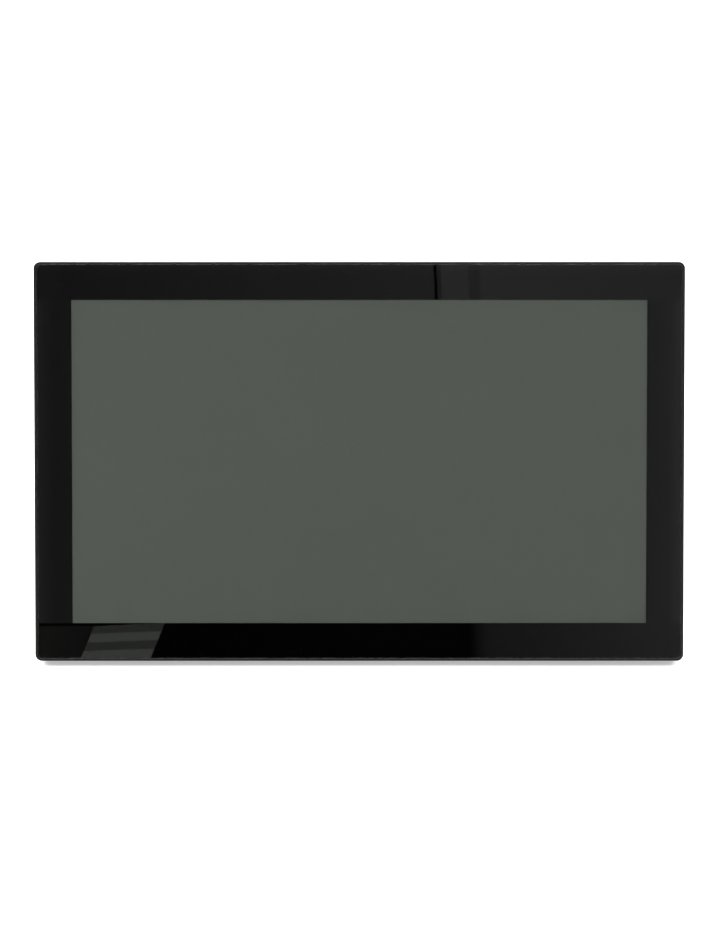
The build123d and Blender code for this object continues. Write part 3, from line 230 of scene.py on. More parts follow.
# ---------------------------------------------------------------- front frame and rear cover
# Two black mouldings that close on each other: a satin frame round the glass, and a cover with a
# coarser spark-eroded texture. Handling has polished their edges, which are also painted paler, part
# wear and part painted highlight, and dust lies where they face up.


def fill(tree, node, given):
    """Sets a node up: lower-case words are its settings, in0, in1 ... its inputs by place, and
    other words its inputs by name. An output given to an input is joined to it."""
    for word, value in given.items():
        if word.islower() and not word[2:].isdigit():
            setattr(node, word, value)
            continue
        socket = node.inputs[int(word[2:]) if word.islower() else word.replace("_", " ")]
        if isinstance(value, bpy.types.NodeSocket):
            tree.links.new(value, socket)
        else:
            socket.default_value = value
    return node


def put(tree, kind, out=0, **given):
    """Adds a shader node and returns one of its outputs."""
    return fill(tree, tree.nodes.new("ShaderNode" + kind), given).outputs[out]


def sums(tree, operation, first, second=0.0):
    """One step of arithmetic on values."""
    return put(tree, "Math", operation=operation, in0=first, in1=second)


def spread(tree, value, low, high, to_low=0.0, to_high=1.0):
    """Carries a value from one range to another and holds it there."""
    return put(tree, "MapRange", in0=value, in1=low, in2=high, in3=to_low, in4=to_high)


def tint(tree, mask, under, over):
    """One colour over another by a mask."""
    under, over = (c if isinstance(c, bpy.types.NodeSocket) else (*c, 1) for c in (under, over))
    return put(tree, "Mix", 2, data_type="RGBA", in0=mask, in6=under, in7=over)


def noise(tree, size, detail=2.0, vector=None):
    """Soft noise whose grains are about this size, in metres."""
    scale = sums(tree, "DIVIDE", 1.0, size) if isinstance(size, bpy.types.NodeSocket) else 1.0 / size
    vector = vector or put(tree, "TexCoord", "Object")
    return put(tree, "TexNoise", Vector=vector, Scale=scale, Detail=detail)


def effect(name, given, results):
    """A new node group with these inputs and their usual values, and these value outputs."""
    group = bpy.data.node_groups.new(name, "ShaderNodeTree")
    for word, value in given.items():
        kind = "NodeSocketFloat" if isinstance(value, float) else "NodeSocketVector"
        group.interface.new_socket(word, in_out="INPUT", socket_type=kind).default_value = value
    for word in results:
        group.interface.new_socket(word, in_out="OUTPUT", socket_type="NodeSocketFloat")
    inlet = group.nodes.new("NodeGroupInput").outputs
    return group, inlet, group.nodes.new("NodeGroupOutput").inputs


def use(tree, group, **given):
    """Places a node group with its own values and returns its outputs."""
    node = tree.nodes.new("ShaderNodeGroup")
    node.node_tree = group
    return fill(tree, node, given).outputs


def new_finish(name, **plain):
    """A new material, its tree and its Principled shader, with the values that are plain."""
    material = bpy.data.materials.new(name)
    material.use_nodes = True
    shader = material.node_tree.nodes["Principled BSDF"]
    return material, material.node_tree, fill(material.node_tree, shader, plain)


def dress(material, *nodes):
    """Gives CAD nodes this finish."""
    for node in nodes:
        for slot in frame["nodes"][node].material_slots:
            slot.material = material


# Grain: fine noise for the height, and broad noise for patches of tone.
moulded_grain, inlet, outlet = effect(
    "moulded_grain", {"Grain Size": 0.0005, "Patch Size": 0.05}, ["Height", "Patch"]
)
tree = moulded_grain
tree.links.new(noise(tree, inlet["Grain Size"], 3.0), outlet["Height"])
tree.links.new(spread(tree, noise(tree, inlet["Patch Size"], 5.0), 0.3, 0.7), outlet["Patch"])

# Edge mask: where the rounded normal parts from the flat one, broken up by noise. Edges are paled by
# it, for rub wear and, on the mouldings, for a painted highlight along their rims.
edge_wear_and_highlight, inlet, outlet = effect("edge_wear_and_highlight", {"Reach": 0.0005, "Wear": 0.5}, ["Mask"])
tree = edge_wear_and_highlight
rounded = put(tree, "Bevel", samples=4, Radius=inlet["Reach"])
flat = put(tree, "NewGeometry", "Normal")
apart = sums(
    tree,
    "SUBTRACT",
    1.0,
    put(tree, "VectorMath", "Value", operation="DOT_PRODUCT", in0=rounded, in1=flat),
)
broken = sums(tree, "MULTIPLY", apart, spread(tree, noise(tree, 0.004, 6.0), 0.35, 0.65))
edge_mask = sums(tree, "MULTIPLY", spread(tree, broken, 0.01, 0.16), inlet["Wear"])
tree.links.new(edge_mask, outlet["Mask"])

# Dust: flecks and a thin film where the surface faces up.
settled_dust, inlet, outlet = effect("settled_dust", {"Amount": 0.3, "Fleck Size": 0.0009}, ["Mask"])
tree = settled_dust
normal_z = put(tree, "SeparateXYZ", "Z", in0=put(tree, "TexCoord", "Normal"))
facing_up = spread(tree, normal_z, 0.05, 0.95)
flecks = spread(tree, noise(tree, inlet["Fleck Size"], 1.0), 0.62, 0.72)
film = spread(tree, noise(tree, 0.03, 5.0), 0.3, 0.85, 0.0, 0.4)
dusty = sums(tree, "MULTIPLY", sums(tree, "MAXIMUM", flecks, film), facing_up)
tree.links.new(sums(tree, "MULTIPLY", dusty, inlet["Amount"]), outlet["Mask"])

dust_grey = (0.30, 0.29, 0.27)


def moulding(name, deep, pale, satin, matt, grain, relief, wear=0.4, dust=0.3, **plain):
    """A moulded finish: its tone and gloss drift from deep and satin to pale and matt, its grain
    stands this high, and its edges are made smoother and paler, the paler tone being part rub
    wear and part painted highlight."""
    material, tree, shader = new_finish(name, **plain)
    grained = use(tree, moulded_grain, Grain_Size=grain, Patch_Size=0.06)
    edge_mask = use(tree, edge_wear_and_highlight, Reach=0.0006, Wear=wear)["Mask"]
    dusty = use(tree, settled_dust, Amount=dust)["Mask"]
    # Edges are painted paler here: part rub wear, part painted highlight on the rims.
    paled_edge = tuple(min(1.0, 2.2 * tone + 0.025) for tone in pale)
    peaks = spread(tree, grained["Height"], 0.4, 0.65)
    drift = sums(tree, "MULTIPLY", sums(tree, "ADD", grained["Patch"], peaks), 0.5)
    body = tint(tree, edge_mask, tint(tree, drift, deep, pale), paled_edge)
    gloss = spread(tree, drift, 0.0, 1.0, satin, matt)
    polished = sums(tree, "SUBTRACT", gloss, sums(tree, "MULTIPLY", edge_mask, 0.18))
    raised = put(tree, "Bump", Strength=1.0, Distance=relief, Height=grained["Height"])
    given = {
        "Base_Color": tint(tree, dusty, body, dust_grey),
        "Roughness": sums(tree, "ADD", polished, sums(tree, "MULTIPLY", dusty, 0.4)),
        "Normal": raised,
    }
    fill(tree, shader, given)
    return material


dress(
    moulding(
        "satin_frame", (0.007,) * 3, (0.012,) * 3,
        satin=0.36, matt=0.46, grain=0.0003, relief=0.00002, wear=0.1, dust=0.1,
        Specular_IOR_Level=0.16,
    ),
    "front_frame",
)
dress(
    moulding(
        "spark_cover", (0.006,) * 3, (0.014,) * 3,
        satin=0.46, matt=0.64, grain=0.0005, relief=0.00016, wear=0.5, dust=0.28,
        Specular_IOR_Level=0.35,
    ),
    "rear_cover",
)

# ---------------------------------------------------------------- cover glass and its black border
# A flat float-glass pane, ground at its edges. The border is ink screened on its back, which leaves
# a clear window, and it is bonded down all round. The pane has been wiped, and touched now and then.

# Finger marks: rings round scattered points, inside soft-edged patches, and faint wiped streaks.
finger_marks, inlet, outlet = effect(
    "finger_marks", {"Print Size": 0.009, "Ridge Pitch": 0.0005}, ["Prints", "Wipes"]
)
tree = finger_marks
where = put(tree, "TexCoord", "Object")
spacing = sums(tree, "MULTIPLY", inlet["Print Size"], 5.0)
cells = fill(
    tree,
    tree.nodes.new("ShaderNodeTexVoronoi"),
    {"Vector": where, "Scale": sums(tree, "DIVIDE", 1.0, spacing)},
).outputs
bent = sums(tree, "ADD", cells["Distance"], sums(tree, "MULTIPLY", noise(tree, 0.006), 0.06))
full_turns = sums(tree, "MULTIPLY", spacing, 2 * math.pi)
ridge_count = sums(tree, "DIVIDE", full_turns, inlet["Ridge Pitch"])
ridges = spread(tree, sums(tree, "SINE", sums(tree, "MULTIPLY", bent, ridge_count)), -0.6, 0.6)
chosen = spread(tree, put(tree, "SeparateXYZ", "X", in0=cells["Color"]), 0.8, 0.82)
patch = sums(tree, "MULTIPLY", spread(tree, bent, 0.16, 0.08), chosen)
tree.links.new(sums(tree, "MULTIPLY", patch, ridges), outlet["Prints"])
wiped = put(tree, "Mapping", Vector=where, Rotation=(0.3, 0.5, 0.4), Scale=(9, 90, 90))
tree.links.new(spread(tree, noise(tree, 1.0, 4.0, wiped), 0.45, 0.75), outlet["Wipes"])

pane, tree, shader = new_finish("float_glass", Transmission_Weight=1.0, IOR=1.5, Metallic=0.0)
marked = use(tree, finger_marks)
dusty = use(tree, settled_dust, Amount=0.5)["Mask"]
touched = sums(tree, "MULTIPLY", marked["Prints"], 0.05)
hazy = sums(tree, "ADD", touched, sums(tree, "MULTIPLY", marked["Wipes"], 0.012))
waves = put(tree, "Bump", Strength=1.0, Distance=0.0000004, Height=noise(tree, 0.03, 1.0))
glass_given = {
    "Base_Color": tint(tree, dusty, (0.985, 1.0, 0.99), (0.9, 0.89, 0.86)),
    "Roughness": sums(tree, "ADD", hazy, sums(tree, "MULTIPLY", dusty, 0.1)),
    "Normal": waves,
}
fill(tree, shader, glass_given)
# Light that falls through the pane isn't bent or held back.
passing = tree.nodes.new("ShaderNodeLightPath").outputs
straight = sums(tree, "MAXIMUM", passing["Is Shadow Ray"], passing["Is Diffuse Ray"])
clear = put(tree, "BsdfTransparent")
mixed = put(tree, "MixShader", in0=straight, in1=shader.outputs["BSDF"], in2=clear)
tree.links.new(mixed, tree.nodes["Material Output"].inputs["Surface"])
dress(pane, "cover_glass")


def solid_object(name, grids, body, material):
    """One piece from closed grids of points: seams and poles are merged, and faces turned outward."""
    starts = np.cumsum([0] + [grid.shape[0] * grid.shape[1] for grid in grids])
    faces = [grid_faces(*grid.shape[:2]) + start for grid, start in zip(grids, starts)]
    mesh = bpy.data.meshes.new(name)
    points = np.concatenate([grid.reshape(-1, 3) for grid in grids])
    mesh.from_pydata(points.tolist(), [], np.concatenate(faces).tolist())
    shell = bmesh.new()
    shell.from_mesh(mesh)
    bmesh.ops.remove_doubles(shell, verts=shell.verts, dist=1e-7)
    bmesh.ops.recalc_face_normals(shell, faces=shell.faces)
    shell.to_mesh(mesh)
    shell.free()
    mesh.materials.append(material)
    made = bpy.data.objects.new(name, mesh)
    bpy.context.scene.collection.objects.link(made)
    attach(made, body)
    return made


def rounded_outline(half_u, half_v, radius, steps=8):
    """A rectangle with rounded corners: each corner's centre plus radius times the turn's cosine
    and sine, corner after corner, and the first point again."""
    turn = np.linspace(0, math.pi / 2, steps) + np.arange(4)[:, None] * math.pi / 2
    side_u = np.array([1, -1, -1, 1])[:, None] * (half_u - radius)
    side_v = np.array([1, 1, -1, -1])[:, None] * (half_v - radius)
    loop = np.stack([side_u + radius * np.cos(turn), side_v + radius * np.sin(turn)], axis=-1)
    loop = loop.reshape(-1, 2)
    return np.concatenate([loop, loop[:1]])


ink, tree, shader = new_finish("screened_ink", Specular_IOR_Level=0.0)
mottled = use(tree, moulded_grain, Grain_Size=0.0012, Patch_Size=0.08)
pinholes = spread(tree, mottled["Height"], 0.74, 0.8, 0.0, 0.3)
deep_black = tint(tree, mottled["Patch"], (0.0005, 0.0005, 0.0006), (0.0007, 0.0007, 0.0008))
fill(tree, shader, {"Base_Color": tint(tree, pinholes, deep_black, (0.004, 0.004, 0.004))})
fill(tree, shader, {"Roughness": spread(tree, mottled["Patch"], 0.0, 1.0, 0.85, 0.95)})

glass_high = housing_box("cover_glass")[1]
mask_high = housing_box("window_mask")[1]
bond_line = 0.00001  # of clear primer between the glass and the ink
ink_corner, window_corner = 0.0027, 0.0003
outer = rounded_outline(mask_high[0], mask_high[1], ink_corner)
inner = rounded_outline(window_u, window_v, window_corner)
ring = np.stack([outer, inner, inner, outer, outer])
ring_depth = np.array([glass_high[2] + bond_line, mask_high[2]])[[0, 0, 1, 1, 0]][:, None]
ring_points = housing_points(ring[..., 0], ring[..., 1], ring_depth)
black_border = solid_object("black_border", [ring_points], "housing", ink)
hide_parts("window_mask")
# It leaves the picture evenly lit up to its edges, as a pane bonded to its screen does.
black_border.visible_diffuse = False
black_border.visible_shadow = False

# ---------------------------------------------------------------- bonds
# Black closed-cell foam: tape that holds the pane in the frame, and the strip that seals the screen.
foam, tree, shader = new_finish("cell_foam", Sheen_Weight=0.2)
cells = put(tree, "TexVoronoi", "Distance", Vector=put(tree, "TexCoord", "Object"), Scale=2600.0)
fill(tree, shader, {"Base_Color": tint(tree, cells, (0.009, 0.009, 0.01), (0.028, 0.028, 0.03))})
fill(tree, shader, {"Roughness": spread(tree, noise(tree, 0.004), 0.3, 0.7, 0.85, 1.0)})
fill(tree, shader, {"Normal": put(tree, "Bump", Distance=0.0001, Height=cells)})
dress(foam, "glass_tape", "screen_gasket")

# ---------------------------------------------------------------- screen module
# The picture cell is matt-coated glass, grey-green with no light behind it. Behind it in a steel
# bezel and an aluminium tray lie the light films, the dotted light guide and a white reflector.
cell, tree, shader = new_finish("matt_cell", Specular_IOR_Level=0.25)
coated = use(tree, moulded_grain, Grain_Size=0.00025, Patch_Size=0.12)
fill(
    tree,
    shader,
    {
        "Base_Color": tint(tree, coated["Patch"], (0.0436, 0.0498, 0.0416), (0.0446, 0.0508, 0.0425)),
        "Roughness": spread(tree, coated["Height"], 0.3, 0.7, 0.5, 0.62),
        "Normal": put(tree, "Bump", Strength=0.3, Distance=0.000004, Height=coated["Height"]),
    },
)
dress(cell, "screen_cell")

# Drawn metal: long streaks across the sheet, and their gloss.
drawn_streaks, inlet, outlet = effect("drawn_streaks", {"Stretch": (12, 2500, 2500)}, ["Streak"])
tree = drawn_streaks
stretched = put(
    tree,
    "VectorMath",
    operation="MULTIPLY",
    in0=put(tree, "TexCoord", "Object"),
    in1=inlet["Stretch"],
)
tree.links.new(noise(tree, 1.0, 4.0, stretched), outlet["Streak"])


def sheet_metal(
    name, dull, bright, smooth, rough, stretch=(12, 2500, 2500), relief=0.000006, wear=0.2
):
    """A metal finish: streaks and patches between dull and bright, brighter where it is rubbed."""
    material, tree, shader = new_finish(name, Metallic=1.0)
    streak = use(tree, drawn_streaks, Stretch=stretch)["Streak"]
    blotch = spread(tree, noise(tree, 0.012, 5.0), 0.3, 0.7)
    edge_mask = use(tree, edge_wear_and_highlight, Reach=0.0003, Wear=wear)["Mask"]
    paled_edge = tuple(min(1.0, 1.15 * tone + 0.03) for tone in bright)
    body = tint(tree, sums(tree, "MULTIPLY", streak, blotch), dull, bright)
    fill(tree, shader, {"Base_Color": tint(tree, edge_mask, body, paled_edge)})
    fill(tree, shader, {"Roughness": spread(tree, streak, 0.3, 0.7, smooth, rough)})
    fill(tree, shader, {"Normal": put(tree, "Bump", Distance=relief, Height=streak)})
    return material


dress(
    sheet_metal(
        "bezel_steel", (0.4, 0.41, 0.42), (0.62, 0.63, 0.64),
        smooth=0.3, rough=0.48,
    ),
    "screen_bezel",
)
dress(
    sheet_metal(
        "tray_aluminium", (0.6, 0.6, 0.61), (0.85, 0.85, 0.86),
        smooth=0.28, rough=0.5,
    ),
    "screen_tray",
)
dress(
    moulding(
        "pearl_film", (0.72, 0.73, 0.74), (0.8, 0.81, 0.82),
        satin=0.25, matt=0.4, grain=0.00005, relief=0.00001, wear=0, dust=0,
    ),
    "optical_films",
)
dress(
    moulding(
        "white_reflector", (0.88, 0.88, 0.87), (0.93, 0.93, 0.92),
        satin=0.3, matt=0.45, grain=0.002, relief=0.00001, wear=0, dust=0,
    ),
    "reflector_sheet",
)
guide, tree, shader = new_finish("dotted_guide", Coat_Weight=0.5)
guide_at = put(tree, "TexCoord", "Object")
dots = put(tree, "TexVoronoi", "Distance", Scale=900.0, Randomness=0.15, Vector=guide_at)
dotted = spread(tree, dots, 0.25, 0.32)
fill(tree, shader, {"Base_Color": tint(tree, dotted, (0.9, 0.92, 0.93), (0.55, 0.62, 0.64))})
fill(tree, shader, {"Roughness": spread(tree, dotted, 0.0, 1.0, 0.5, 0.08)})
dress(guide, "light_guide")

# Phosphor-yellow light sources at an even pitch along a white strip.
strip, tree, shader = new_finish("light_strip_white")
strip_low, strip_high = housing_box("light_strip")
lamp_count = 36
lamp_turns = 2 * math.pi * lamp_count / (strip_high[0] - strip_low[0])
strip_x = put(tree, "SeparateXYZ", "X", in0=put(tree, "TexCoord", "Object"))
on_lamp = spread(tree, sums(tree, "COSINE", sums(tree, "MULTIPLY", strip_x, lamp_turns)), -0.4, -0.3)
fill(tree, shader, {"Base_Color": tint(tree, on_lamp, (0.85, 0.7, 0.2), (0.86, 0.87, 0.87))})
fill(tree, shader, {"Roughness": spread(tree, noise(tree, 0.001), 0.3, 0.7, 0.3, 0.5)})
dress(strip, "light_strip")
dress(
    sheet_metal(
        "zinc_plate", (0.5, 0.52, 0.55), (0.74, 0.76, 0.78),
        smooth=0.25, rough=0.42,
    ),
    "module_brackets",
)

# ---------------------------------------------------------------- boards and what they carry
# Green fibreglass boards with tinned pads and traces under the green, black chips, a sawn aluminium
# heat sink, ferrite coils, ivory sockets for the cables, and amber flexes from the screen.
board, tree, shader = new_finish("green_board", Coat_Weight=0.4, Coat_Roughness=0.2)
board_turn = (math.pi / 2 + lean, 0, 0)
flat_on = put(tree, "Mapping", Vector=put(tree, "TexCoord", "Object"), Rotation=board_turn)
runs = put(
    tree,
    "TexBrick",
    "Fac",
    Vector=flat_on,
    Scale=1.0,
    Mortar_Size=0.00016,
    Brick_Width=0.0061,
    Row_Height=0.0007,
)
pads = spread(tree, put(tree, "TexVoronoi", "Distance", Vector=flat_on, Scale=420.0), 0.14, 0.1)
islands = spread(tree, noise(tree, 0.009, 1.0), 0.48, 0.52)
traced = sums(tree, "MULTIPLY", runs, islands)
laid = tint(tree, traced, (0.010, 0.075, 0.028), (0.022, 0.14, 0.05))
tinned = sums(tree, "MULTIPLY", pads, spread(tree, noise(tree, 0.006), 0.5, 0.55))
fill(tree, shader, {"Base_Color": tint(tree, tinned, laid, (0.62, 0.62, 0.6)), "Metallic": tinned})
fill(tree, shader, {"Roughness": spread(tree, islands, 0.0, 1.0, 0.5, 0.35)})
fill(tree, shader, {"Normal": put(tree, "Bump", Distance=0.00004, Height=traced)})
dress(board, "main_board", "key_board", "source_board")

flex, tree, shader = new_finish("amber_flex", Coat_Weight=0.3)
flex_x = put(tree, "SeparateXYZ", "X", in0=put(tree, "TexCoord", "Object"))
flex_turns = 2 * math.pi / 0.0005
copper = spread(tree, sums(tree, "SINE", sums(tree, "MULTIPLY", flex_x, flex_turns)), -0.2, 0.2)
fill(tree, shader, {"Base_Color": tint(tree, copper, (0.32, 0.13, 0.02), (0.55, 0.24, 0.07))})
fill(tree, shader, {"Roughness": spread(tree, noise(tree, 0.002), 0.3, 0.7, 0.25, 0.4)})
dress(flex, "driver_flexes")

dress(
    moulding(
        "chip_resin", (0.016,) * 3, (0.024, 0.024, 0.026),
        satin=0.5, matt=0.65, grain=0.00012, relief=0.00001, wear=0.2, dust=0.1,
    ),
    "processor",
    "memory_chips",
)
dress(
    moulding(
        "pressed_ferrite", (0.03, 0.029, 0.03), (0.055, 0.053, 0.052),
        satin=0.5, matt=0.7, grain=0.0003, relief=0.00003, wear=0.4, dust=0.1,
    ),
    "power_coils",
    "speaker_magnets",
)
dress(
    moulding(
        "ivory_nylon", (0.55, 0.5, 0.38), (0.66, 0.61, 0.49),
        satin=0.35, matt=0.5, grain=0.0004, relief=0.00001, wear=0.1, dust=0.1,
    ),
    "board_headers",
)
dress(
    sheet_metal(
        "sawn_aluminium", (0.5, 0.5, 0.51), (0.8, 0.8, 0.81),
        smooth=0.3, rough=0.5, stretch=(2500, 40, 40), relief=0.00001,
    ),
    "heat_sink",
)

# ---------------------------------------------------------------- screws, inserts and cables
# Rolled steel screws: blackened where they show, bright zinc inside. Brass inserts take the wall
# bracket's screws. The cables are grey, and the screen's own is a flat ribbon.
dress(
    sheet_metal(
        "black_oxide", (0.012, 0.012, 0.014), (0.05, 0.05, 0.053),
        smooth=0.32, rough=0.5, stretch=(400, 400, 400), wear=0.5,
    ),
    "cover_screws",
    "hinge_screws",
)
dress(
    sheet_metal(
        "bright_zinc", (0.45, 0.47, 0.5), (0.7, 0.72, 0.75),
        smooth=0.22, rough=0.38, stretch=(600, 600, 600),
    ),
    "inner_screws",
)
dress(
    sheet_metal(
        "turned_brass", (0.52, 0.36, 0.13), (0.78, 0.58, 0.26),
        smooth=0.2, rough=0.36, stretch=(250, 3000, 250),
    ),
    "wall_mount_inserts",
)
dress(
    moulding(
        "cable_jacket", (0.03,) * 3, (0.045,) * 3,
        satin=0.4, matt=0.55, grain=0.0004, relief=0.00001, wear=0.1, dust=0.2,
    ),
    "speaker_cables",
    "key_cable",
)
ribbon, tree, shader = new_finish("grey_ribbon")
ribbon_x = put(tree, "SeparateXYZ", "X", in0=put(tree, "TexCoord", "Object"))
ribs_and_groove_shade = sums(tree, "ABSOLUTE", sums(tree, "SINE", sums(tree, "MULTIPLY", ribbon_x, math.pi / 0.001)))
# Colour follows the ribs: the grooves between the wires are painted darker, painted shade in the
# grooves.
fill(tree, shader, {"Base_Color": tint(tree, ribs_and_groove_shade, (0.22, 0.22, 0.23), (0.42, 0.42, 0.43))})
fill(tree, shader, {"Roughness": spread(tree, noise(tree, 0.003), 0.3, 0.7, 0.4, 0.6)})
fill(tree, shader, {"Normal": put(tree, "Bump", Distance=0.0003, Height=ribs_and_groove_shade)})
dress(ribbon, "panel_cable")

# ---------------------------------------------------------------- sockets
# Black glass-filled bodies and tongues, plated steel shells, and gilt contacts on the tongues and
# on the floor of the card slot, which spring towards whatever is pushed in.
dress(
    moulding(
        "socket_nylon", (0.012,) * 3, (0.02,) * 3,
        satin=0.4, matt=0.55, grain=0.00025, relief=0.00002, wear=0.3, dust=0.25,
    ),
    "dc_jack",
    "usb_tongue",
    "video_tongue",
    "card_base",
)
dress(
    sheet_metal(
        "nickel_shell", (0.42, 0.42, 0.41), (0.66, 0.65, 0.63),
        smooth=0.2, rough=0.36, stretch=(15, 2200, 2200),
    ),
    "usb_shell",
    "video_shell",
    "card_shell",
    "dc_pin",
)
gilt = sheet_metal(
    "gilt_contact", (0.55, 0.38, 0.12), (0.85, 0.64, 0.28),
    smooth=0.18, rough=0.32, stretch=(60, 3000, 3000),
)


def drawn_bead(line, half_width, height, arch=0.0, sunk=0.00003, spans=14):
    """A bead along a line of (x, y) points: half an ellipse across it, over a flat base a little
    under the surface. The width follows a circle to nothing at both ends, and the whole may arch
    by a half sine. Returns a closed grid of (x, y, rise)."""
    line = np.asarray(line, float)
    reach = np.concatenate([[0], np.cumsum(np.hypot(*np.diff(line, axis=0).T))])
    ease = half_width * (1 - np.cos(np.linspace(0, math.pi / 2, 5)))
    middle = np.linspace(half_width, reach[-1] - half_width, spans)[1:-1]
    run = np.concatenate([ease, middle, reach[-1] - ease[::-1]])
    x, y = (np.interp(run, reach, line[:, k]) for k in (0, 1))
    slope_x, slope_y = np.gradient(x, run), np.gradient(y, run)
    steep = np.hypot(slope_x, slope_y)
    inward = np.clip(1 - np.minimum(run, reach[-1] - run) / half_width, 0, 1)
    width = half_width * np.sqrt(np.clip(1 - inward**2, 0, 1))
    turn = np.linspace(0, math.pi, 7)
    aside = np.concatenate([np.cos(turn), [-1, 1, 1]])
    rise = np.concatenate([height * np.sin(turn), [-sunk, -sunk, 0]])
    rise = np.where(rise > 0, rise * width[:, None] / half_width, rise)
    arched = rise + (arch * np.sin(math.pi * run / reach[-1]))[:, None]
    across_x = x[:, None] - width[:, None] * aside * (slope_y / steep)[:, None]
    across_y = y[:, None] + width[:, None] * aside * (slope_x / steep)[:, None]
    return np.stack([across_x, across_y, arched], axis=-1)


def contact_row(name, places, length, half_width, height, arch=0.0):
    """Contacts that run inwards. A place is (u of the outer end, v, depth of the surface, +1 if it
    faces the rear or -1)."""
    bead = drawn_bead([(0, 0), (length, 0)], half_width, height, arch)
    grids = [
        housing_points(u - bead[..., 0], v + bead[..., 1], depth + way * bead[..., 2])
        for u, v, depth, way in places
    ]
    return solid_object(name, grids, "housing", gilt)


socket_boxes = {name: housing_box(name) for name in ("usb_shell", "video_shell", "card_base")}
middles = {name: (low + high) / 2 for name, (low, high) in socket_boxes.items()}
usb_face = middles["usb_shell"][2] - 0.00025
usb_out = housing_box("usb_tongue")[1][0] - 0.0012
usb_places = np.array([-0.0035, -0.001, 0.001, 0.0035])
contact_row(
    "usb_contacts",
    [(usb_out, middles["usb_shell"][1] + v, usb_face, 1) for v in usb_places],
    0.008,
    0.0005,
    0.00018,
)
video_half, video_pitch = 0.0005, 0.001
video_out = housing_box("video_tongue")[1][0] - 0.0006
video_v, video_depth = middles["video_shell"][1:]
contact_row(
    "video_contacts",
    [
        (
            video_out,
            video_v + (k - 4.5 + 0.5 * (way < 0)) * video_pitch,
            video_depth + way * video_half,
            way,
        )
        for way in (1, -1)
        for k in range(10 if way > 0 else 9)
    ],
    0.007,
    0.0002,
    0.0001,
)
card_floor = socket_boxes["card_base"][0][2] + 0.0008
card_out = socket_boxes["card_base"][1][0] - 0.017
contact_row(
    "card_contacts",
    [(card_out, middles["card_base"][1] + (k - 4) * 0.0025, card_floor, 1) for k in range(9)],
    0.0075,
    0.0006,
    0.00025,
    arch=0.0009,
)

# ---------------------------------------------------------------- keys
# Five black caps with a sign printed on each: back, play, forward, menu and standby. They press
# white plungers into switches on their own board.
key_names = ("previous", "play", "next", "menu", "power")
dress(
    moulding(
        "key_satin", (0.011,) * 3, (0.017,) * 3,
        satin=0.3, matt=0.42, grain=0.0003, relief=0.00003, wear=0.6, dust=0.12,
    ),
    *[f"{name}_key" for name in key_names],
)
dress(
    moulding(
        "plunger_white", (0.66, 0.65, 0.62), (0.76, 0.75, 0.72),
        satin=0.35, matt=0.5, grain=0.0003, relief=0.00001, wear=0.2, dust=0.1,
    ),
    *[f"{name}_plunger" for name in key_names],
)
dress(
    moulding(
        "switch_black", (0.016,) * 3, (0.024,) * 3,
        satin=0.4, matt=0.5, grain=0.0003, relief=0.00001, wear=0.3, dust=0.1,
    ),
    "key_switches",
)

print_ink, tree, shader = new_finish("printed_signs")
inked = use(tree, moulded_grain, Grain_Size=0.00025, Patch_Size=0.004)
thin = spread(tree, inked["Height"], 0.62, 0.7, 0.0, 0.5)
fill(tree, shader, {"Base_Color": tint(tree, thin, (0.5, 0.5, 0.49), (0.22, 0.22, 0.22))})
fill(tree, shader, {"Roughness": spread(tree, inked["Patch"], 0.0, 1.0, 0.45, 0.6)})
fill(tree, shader, {"Normal": put(tree, "Bump", Distance=0.00001, Height=inked["Height"])})


def printed_sign(name, middle_u, middle_v, depth, lines, body, half_width=0.00022):
    """Ink beads on a face that looks to the rear. Lines are (x, y) points in millimetres, with x to
    the right as seen from behind."""
    grids = []
    for line in lines:
        bead = drawn_bead(np.array(line) * 0.001, half_width, 0.00005)
        u, v = middle_u - bead[..., 0], middle_v + bead[..., 1]
        grids.append(housing_points(u, v, depth + bead[..., 2]))
    return solid_object(name, grids, body, print_ink)


def strokes(*points):
    """One line from each point to the next."""
    return [list(pair) for pair in zip(points, points[1:])]


standby_radius = 1.7
around = np.linspace(math.radians(125), math.radians(415), 40)
ring_line = np.stack([standby_radius * np.cos(around), standby_radius * np.sin(around)], axis=1)
key_signs = {
    "previous": strokes((0.6, 1.5), (-0.9, 0), (0.6, -1.5)) + strokes((-1.6, 1.5), (-1.6, -1.5)),
    "play": strokes((-1.1, 1.7), (1.7, 0), (-1.1, -1.7), (-1.1, 1.7)),
    "next": strokes((-0.6, 1.5), (0.9, 0), (-0.6, -1.5)) + strokes((1.6, 1.5), (1.6, -1.5)),
    "menu": [[(-1.6, y), (1.6, y)] for y in (-1.2, 0, 1.2)],
    "power": [ring_line, [(0, 2.2), (0, 0.4)]],
}
for key_name, lines in key_signs.items():
    key_low, key_high = housing_box(f"{key_name}_key")
    key_u, key_v = (key_low[:2] + key_high[:2]) / 2
    key_body = f"{key_name}_button"
    printed_sign(f"{key_name}_sign", key_u, key_v, key_high[2], lines, key_body)

